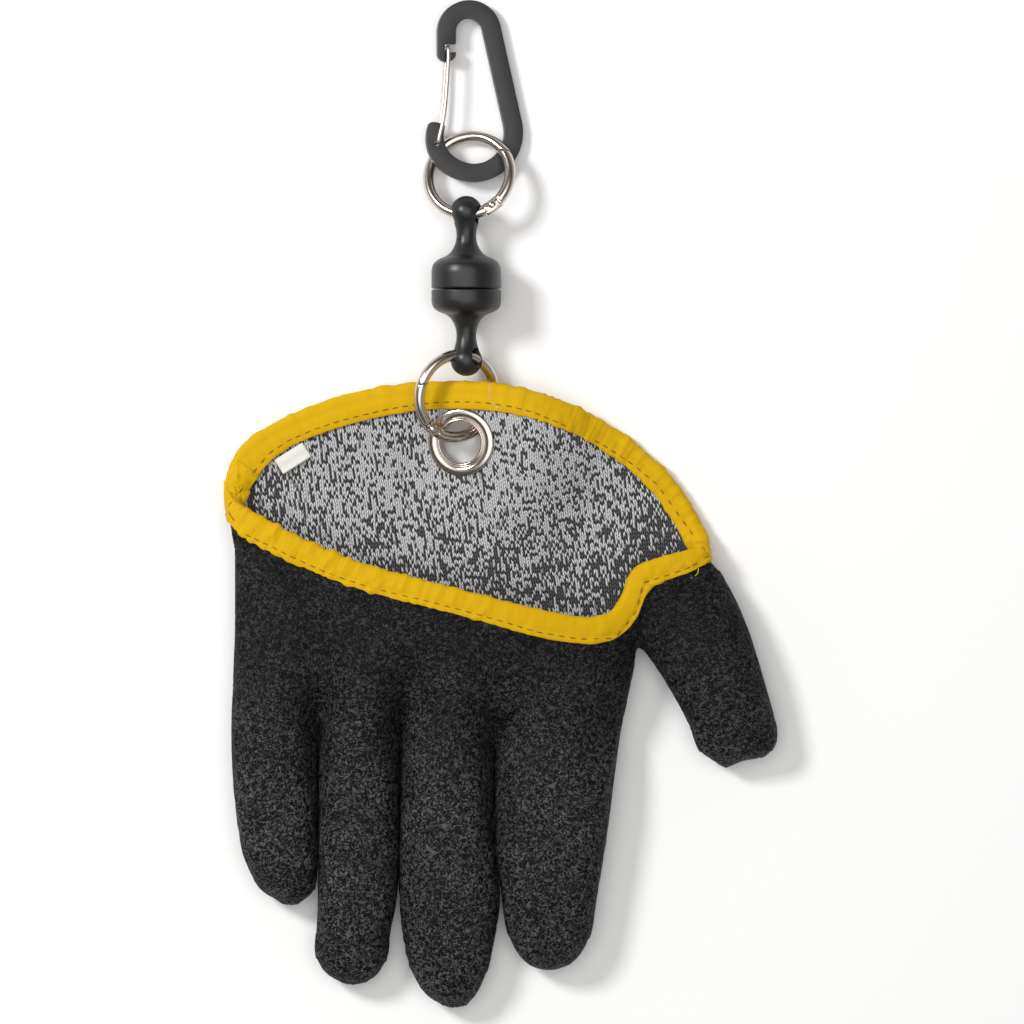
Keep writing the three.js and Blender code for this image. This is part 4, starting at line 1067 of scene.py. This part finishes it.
class GLOVE_OT_clip(bpy.types.Operator):
    """Make the flat plate clip and its wire gate"""

    bl_idname = "glove.clip"
    bl_label = "Clip"

    def execute(self, context):
        fittings = context.scene.glove_fittings
        black = finish_named(satin_black, "black anodised aluminium", fittings.clip_colour, 0.4, 0.1)
        plate = self.plate(fittings)
        plate.transform(CLIP)
        piece = finish_piece(plate, "clip_plate", "clip_side", black)
        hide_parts("clip_body")
        steel = finish_named(plated_nickel, "drawn spring steel", fittings.nickel_colour, 0.24)
        gate = self.gate(fittings)
        gate.transform(CLIP)
        piece = finish_piece(gate, "clip_wire_gate", "wire_gate", steel)
        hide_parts("clip_gate")
        return {"FINISHED"}

    @staticmethod
    def plate(fittings):
        bowl, crown, lean, reach, nose = (v * MM for v in (BOWL, CROWN, LEAN, REACH, NOSE))
        band, thick = fittings.clip_band, fittings.clip_plate
        top = Vector((-lean, reach, 0))
        side = math.atan2(reach, -lean) - math.acos((bowl - crown) / top.length)
        start = math.radians(166)
        bm = bmesh.new()
        made = bmesh.ops.create_grid(bm, x_segments=1, y_segments=1, size=0.5)["verts"]
        bmesh.ops.transform(
            bm, verts=made,
            matrix=Matrix.Rotation(start, 4, "Z") @ Matrix.Translation((bowl, 0, 0))
            @ Matrix.Rotation(math.pi / 2, 4, "X") @ Matrix.Diagonal((band, thick, 1, 1)),
        )
        bmesh.ops.delete(bm, geom=bm.faces[:], context="FACES_ONLY")
        first = bm.edges[:]
        # The lower bowl, the straight spine, the upper bowl, and the nose that comes down from it
        geom = swept(bm, made + first, (0, 0, 0), 2 * math.pi + side - start, 44)
        shift = Vector((math.cos(side), math.sin(side), 0))
        verts, edges = pulled(bm, geom, top + shift * crown - shift * bowl)
        geom = swept(bm, verts + edges, top, math.pi - side, 24)
        last = pulled(bm, geom, (0, -nose, 0))[1]
        caps = [f for rim in (first, last) for f in bmesh.ops.contextual_create(bm, geom=rim)["faces"]]
        bmesh.ops.recalc_face_normals(bm, faces=bm.faces)
        upright = [
            e for e in bm.edges
            if abs((e.verts[0].co - e.verts[1].co).normalized().z) > 0.9
            and any(f in caps for f in e.link_faces)
        ]
        bmesh.ops.bevel(
            bm, geom=upright, offset=2.3 * MM, segments=7, profile=0.5, affect="EDGES", material=-1
        )
        # The heel draws in towards its end
        for v in bm.verts:
            angle = math.degrees(math.atan2(v.co.y, v.co.x)) % 360
            if 150 < angle < 215 and v.co.y < 6 * MM:
                v.co *= 1 - 0.11 * ((215 - angle) / 50) ** 1.5
        around = fittings.gate_wire + fittings.clearance
        bar = Vector((*BAR, 0)) * MM
        notch = block(
            (band, 2 * around + 0.6 * MM, 3 * thick), (bar.x + band / 2 - around, bar.y - 0.3 * MM, 0)
        )
        groove = bmesh.new()
        for face in (1, -1):
            size = (2 * around, 8 * MM + 2 * around, 1.0 * MM)
            groove.from_mesh(mesh_of(block(size, (bar.x, bar.y - 4 * MM, face * thick / 2))))
        hole = bmesh.new()
        bmesh.ops.create_cone(
            hole, cap_ends=True, segments=24, radius1=around, radius2=around, depth=3 * thick,
            matrix=Matrix.Translation((PIVOT[0] * MM, PIVOT[1] * MM, 0)),
        )
        return cut(mesh_of(bm), [notch, groove, hole], 0.75 * MM, 38)

    @staticmethod
    def gate(fittings):
        wire = fittings.gate_wire / MM
        face = fittings.clip_plate / MM / 2 + fittings.clearance / MM + wire

        def strand(side):
            return [
                (*PIVOT, side * 0.5), (*PIVOT, side * (face - 0.5)),
                (PIVOT[0] + 0.2, PIVOT[1] + 0.9, side * face), (PIVOT[0] + 1.8, PIVOT[1] + 7.3, side * face),
                (BAR[0] - 0.5, BAR[1] - 12, side * face), (BAR[0] - 0.1, BAR[1] - 5, side * face),
                (BAR[0], BAR[1] - 0.6, side * face), (*BAR, side * (face - 0.7)),
            ]

        path = [Vector(p) * MM for p in [*strand(1), (*BAR, 0), *reversed(strand(-1))]]
        return tube(path, fittings.gate_wire, 14)


# The light from all round: height as a share of straight up, then brightness
SKY = [(0.0, 0.2), (0.12, 0.4), (0.4, 0.5), (0.52, 0.1), (0.82, 0.1), (0.92, 2.1), (1.0, 2.4)]


class GLOVE_OT_studio(bpy.types.Operator):
    """Set up the floor, the lights, the world and the camera"""

    bl_idname = "glove.studio"
    bl_label = "Studio"

    def execute(self, context):
        scene = context.scene
        studio = scene.glove_studio
        scene.view_settings.view_transform = "Standard"
        scene.view_settings.look = "None"
        bm = bmesh.new()
        bmesh.ops.create_grid(bm, x_segments=8, y_segments=8, size=1.6)
        bmesh.ops.translate(bm, vec=(0, 0, -0.1 * MM), verts=bm.verts)
        floor = held(mesh_of(bm), "floor")
        floor.data.materials.append(finish_named(white_card, "matt white card", studio.floor_colour))
        scene.world = bpy.data.worlds.new("studio")
        scene.world.use_nodes = True
        sky = scene.world.node_tree
        way = add(sky, "ShaderNodeTexCoord", output="Generated")
        height = add(sky, "ShaderNodeSeparateXYZ", [way], output="Z")
        glow = add(sky, "ShaderNodeValToRGB", [height])
        ramp = glow.node.color_ramp
        ramp.interpolation = "EASE"
        for at, _ in SKY[2:]:
            ramp.elements.new(at)
        for element, (at, bright) in zip(ramp.elements, SKY):
            element.position = at
            element.color = (bright, bright * 0.993, bright * 0.98, 1)
        background = sky.nodes["Background"].inputs
        sky.links.new(glow, background["Color"])
        background["Strength"].default_value = studio.world
        aim = Vector((studio.aim_x, studio.aim_y, 0))
        self.light("key", aim + Vector((-0.85, 0.55, 1.0)), aim, 0.34, studio.key)
        self.light("fill", aim + Vector((0.7, -0.5, 0.9)), aim, 0.8, studio.fill)
        camera = held(bpy.data.cameras.new("camera"), "camera")
        camera.data.type = "PERSP"
        camera.data.sensor_width = 36
        camera.data.lens = 36 * studio.height / studio.picture
        camera.data.clip_end = 10
        camera.location = aim + UP * studio.height
        scene.camera = camera
        return {"FINISHED"}

    @staticmethod
    def light(name, place, aim, size, power):
        lamp = held(bpy.data.lights.new(name, "AREA"), name)
        lamp.data.shape = "DISK"
        lamp.data.size = size
        lamp.data.energy = power
        lamp.location = place
        lamp.rotation_mode = "QUATERNION"
        lamp.rotation_quaternion = (aim - place).to_track_quat("-Z", "Y")


OPERATORS = [
    GLOVE_OT_studio, GLOVE_OT_coating, GLOVE_OT_liner, GLOVE_OT_tape, GLOVE_OT_stitches, GLOVE_OT_threads,
    GLOVE_OT_label, GLOVE_OT_eyelet, GLOVE_OT_rings, GLOVE_OT_release, GLOVE_OT_clip,
]


class GLOVE_PT_panel(bpy.types.Panel):
    """The glove's pieces and their settings"""

    bl_idname = "GLOVE_PT_panel"
    bl_label = "Fishing glove"
    bl_space_type = "VIEW_3D"
    bl_region_type = "UI"
    bl_category = "Glove"

    def draw(self, context):
        for operator in OPERATORS:
            self.layout.operator(operator.bl_idname)
        for group in GROUPS:
            settings = getattr(context.scene, group)
            for name in settings.__annotations__:
                self.layout.prop(settings, name)


GROUPS = {"glove_cloth": ClothSettings, "glove_fittings": FittingSettings, "glove_studio": StudioSettings}
CLASSES = [*GROUPS.values(), *OPERATORS, GLOVE_PT_panel]


def register():
    for kind in CLASSES:
        bpy.utils.register_class(kind)
    for name, kind in GROUPS.items():
        setattr(bpy.types.Scene, name, bpy.props.PointerProperty(type=kind))


def unregister():
    for name in GROUPS:
        delattr(bpy.types.Scene, name)
    for kind in reversed(CLASSES):
        bpy.utils.unregister_class(kind)


def main():
    register()
    bpy.ops.glove.studio()
    bpy.ops.glove.coating()
    bpy.ops.glove.liner()
    bpy.ops.glove.tape()
    bpy.ops.glove.stitches()
    bpy.ops.glove.threads()
    bpy.ops.glove.label()
    bpy.ops.glove.eyelet()
    bpy.ops.glove.rings()
    bpy.ops.glove.release()
    bpy.ops.glove.clip()


if __name__ == "__main__":
    main()
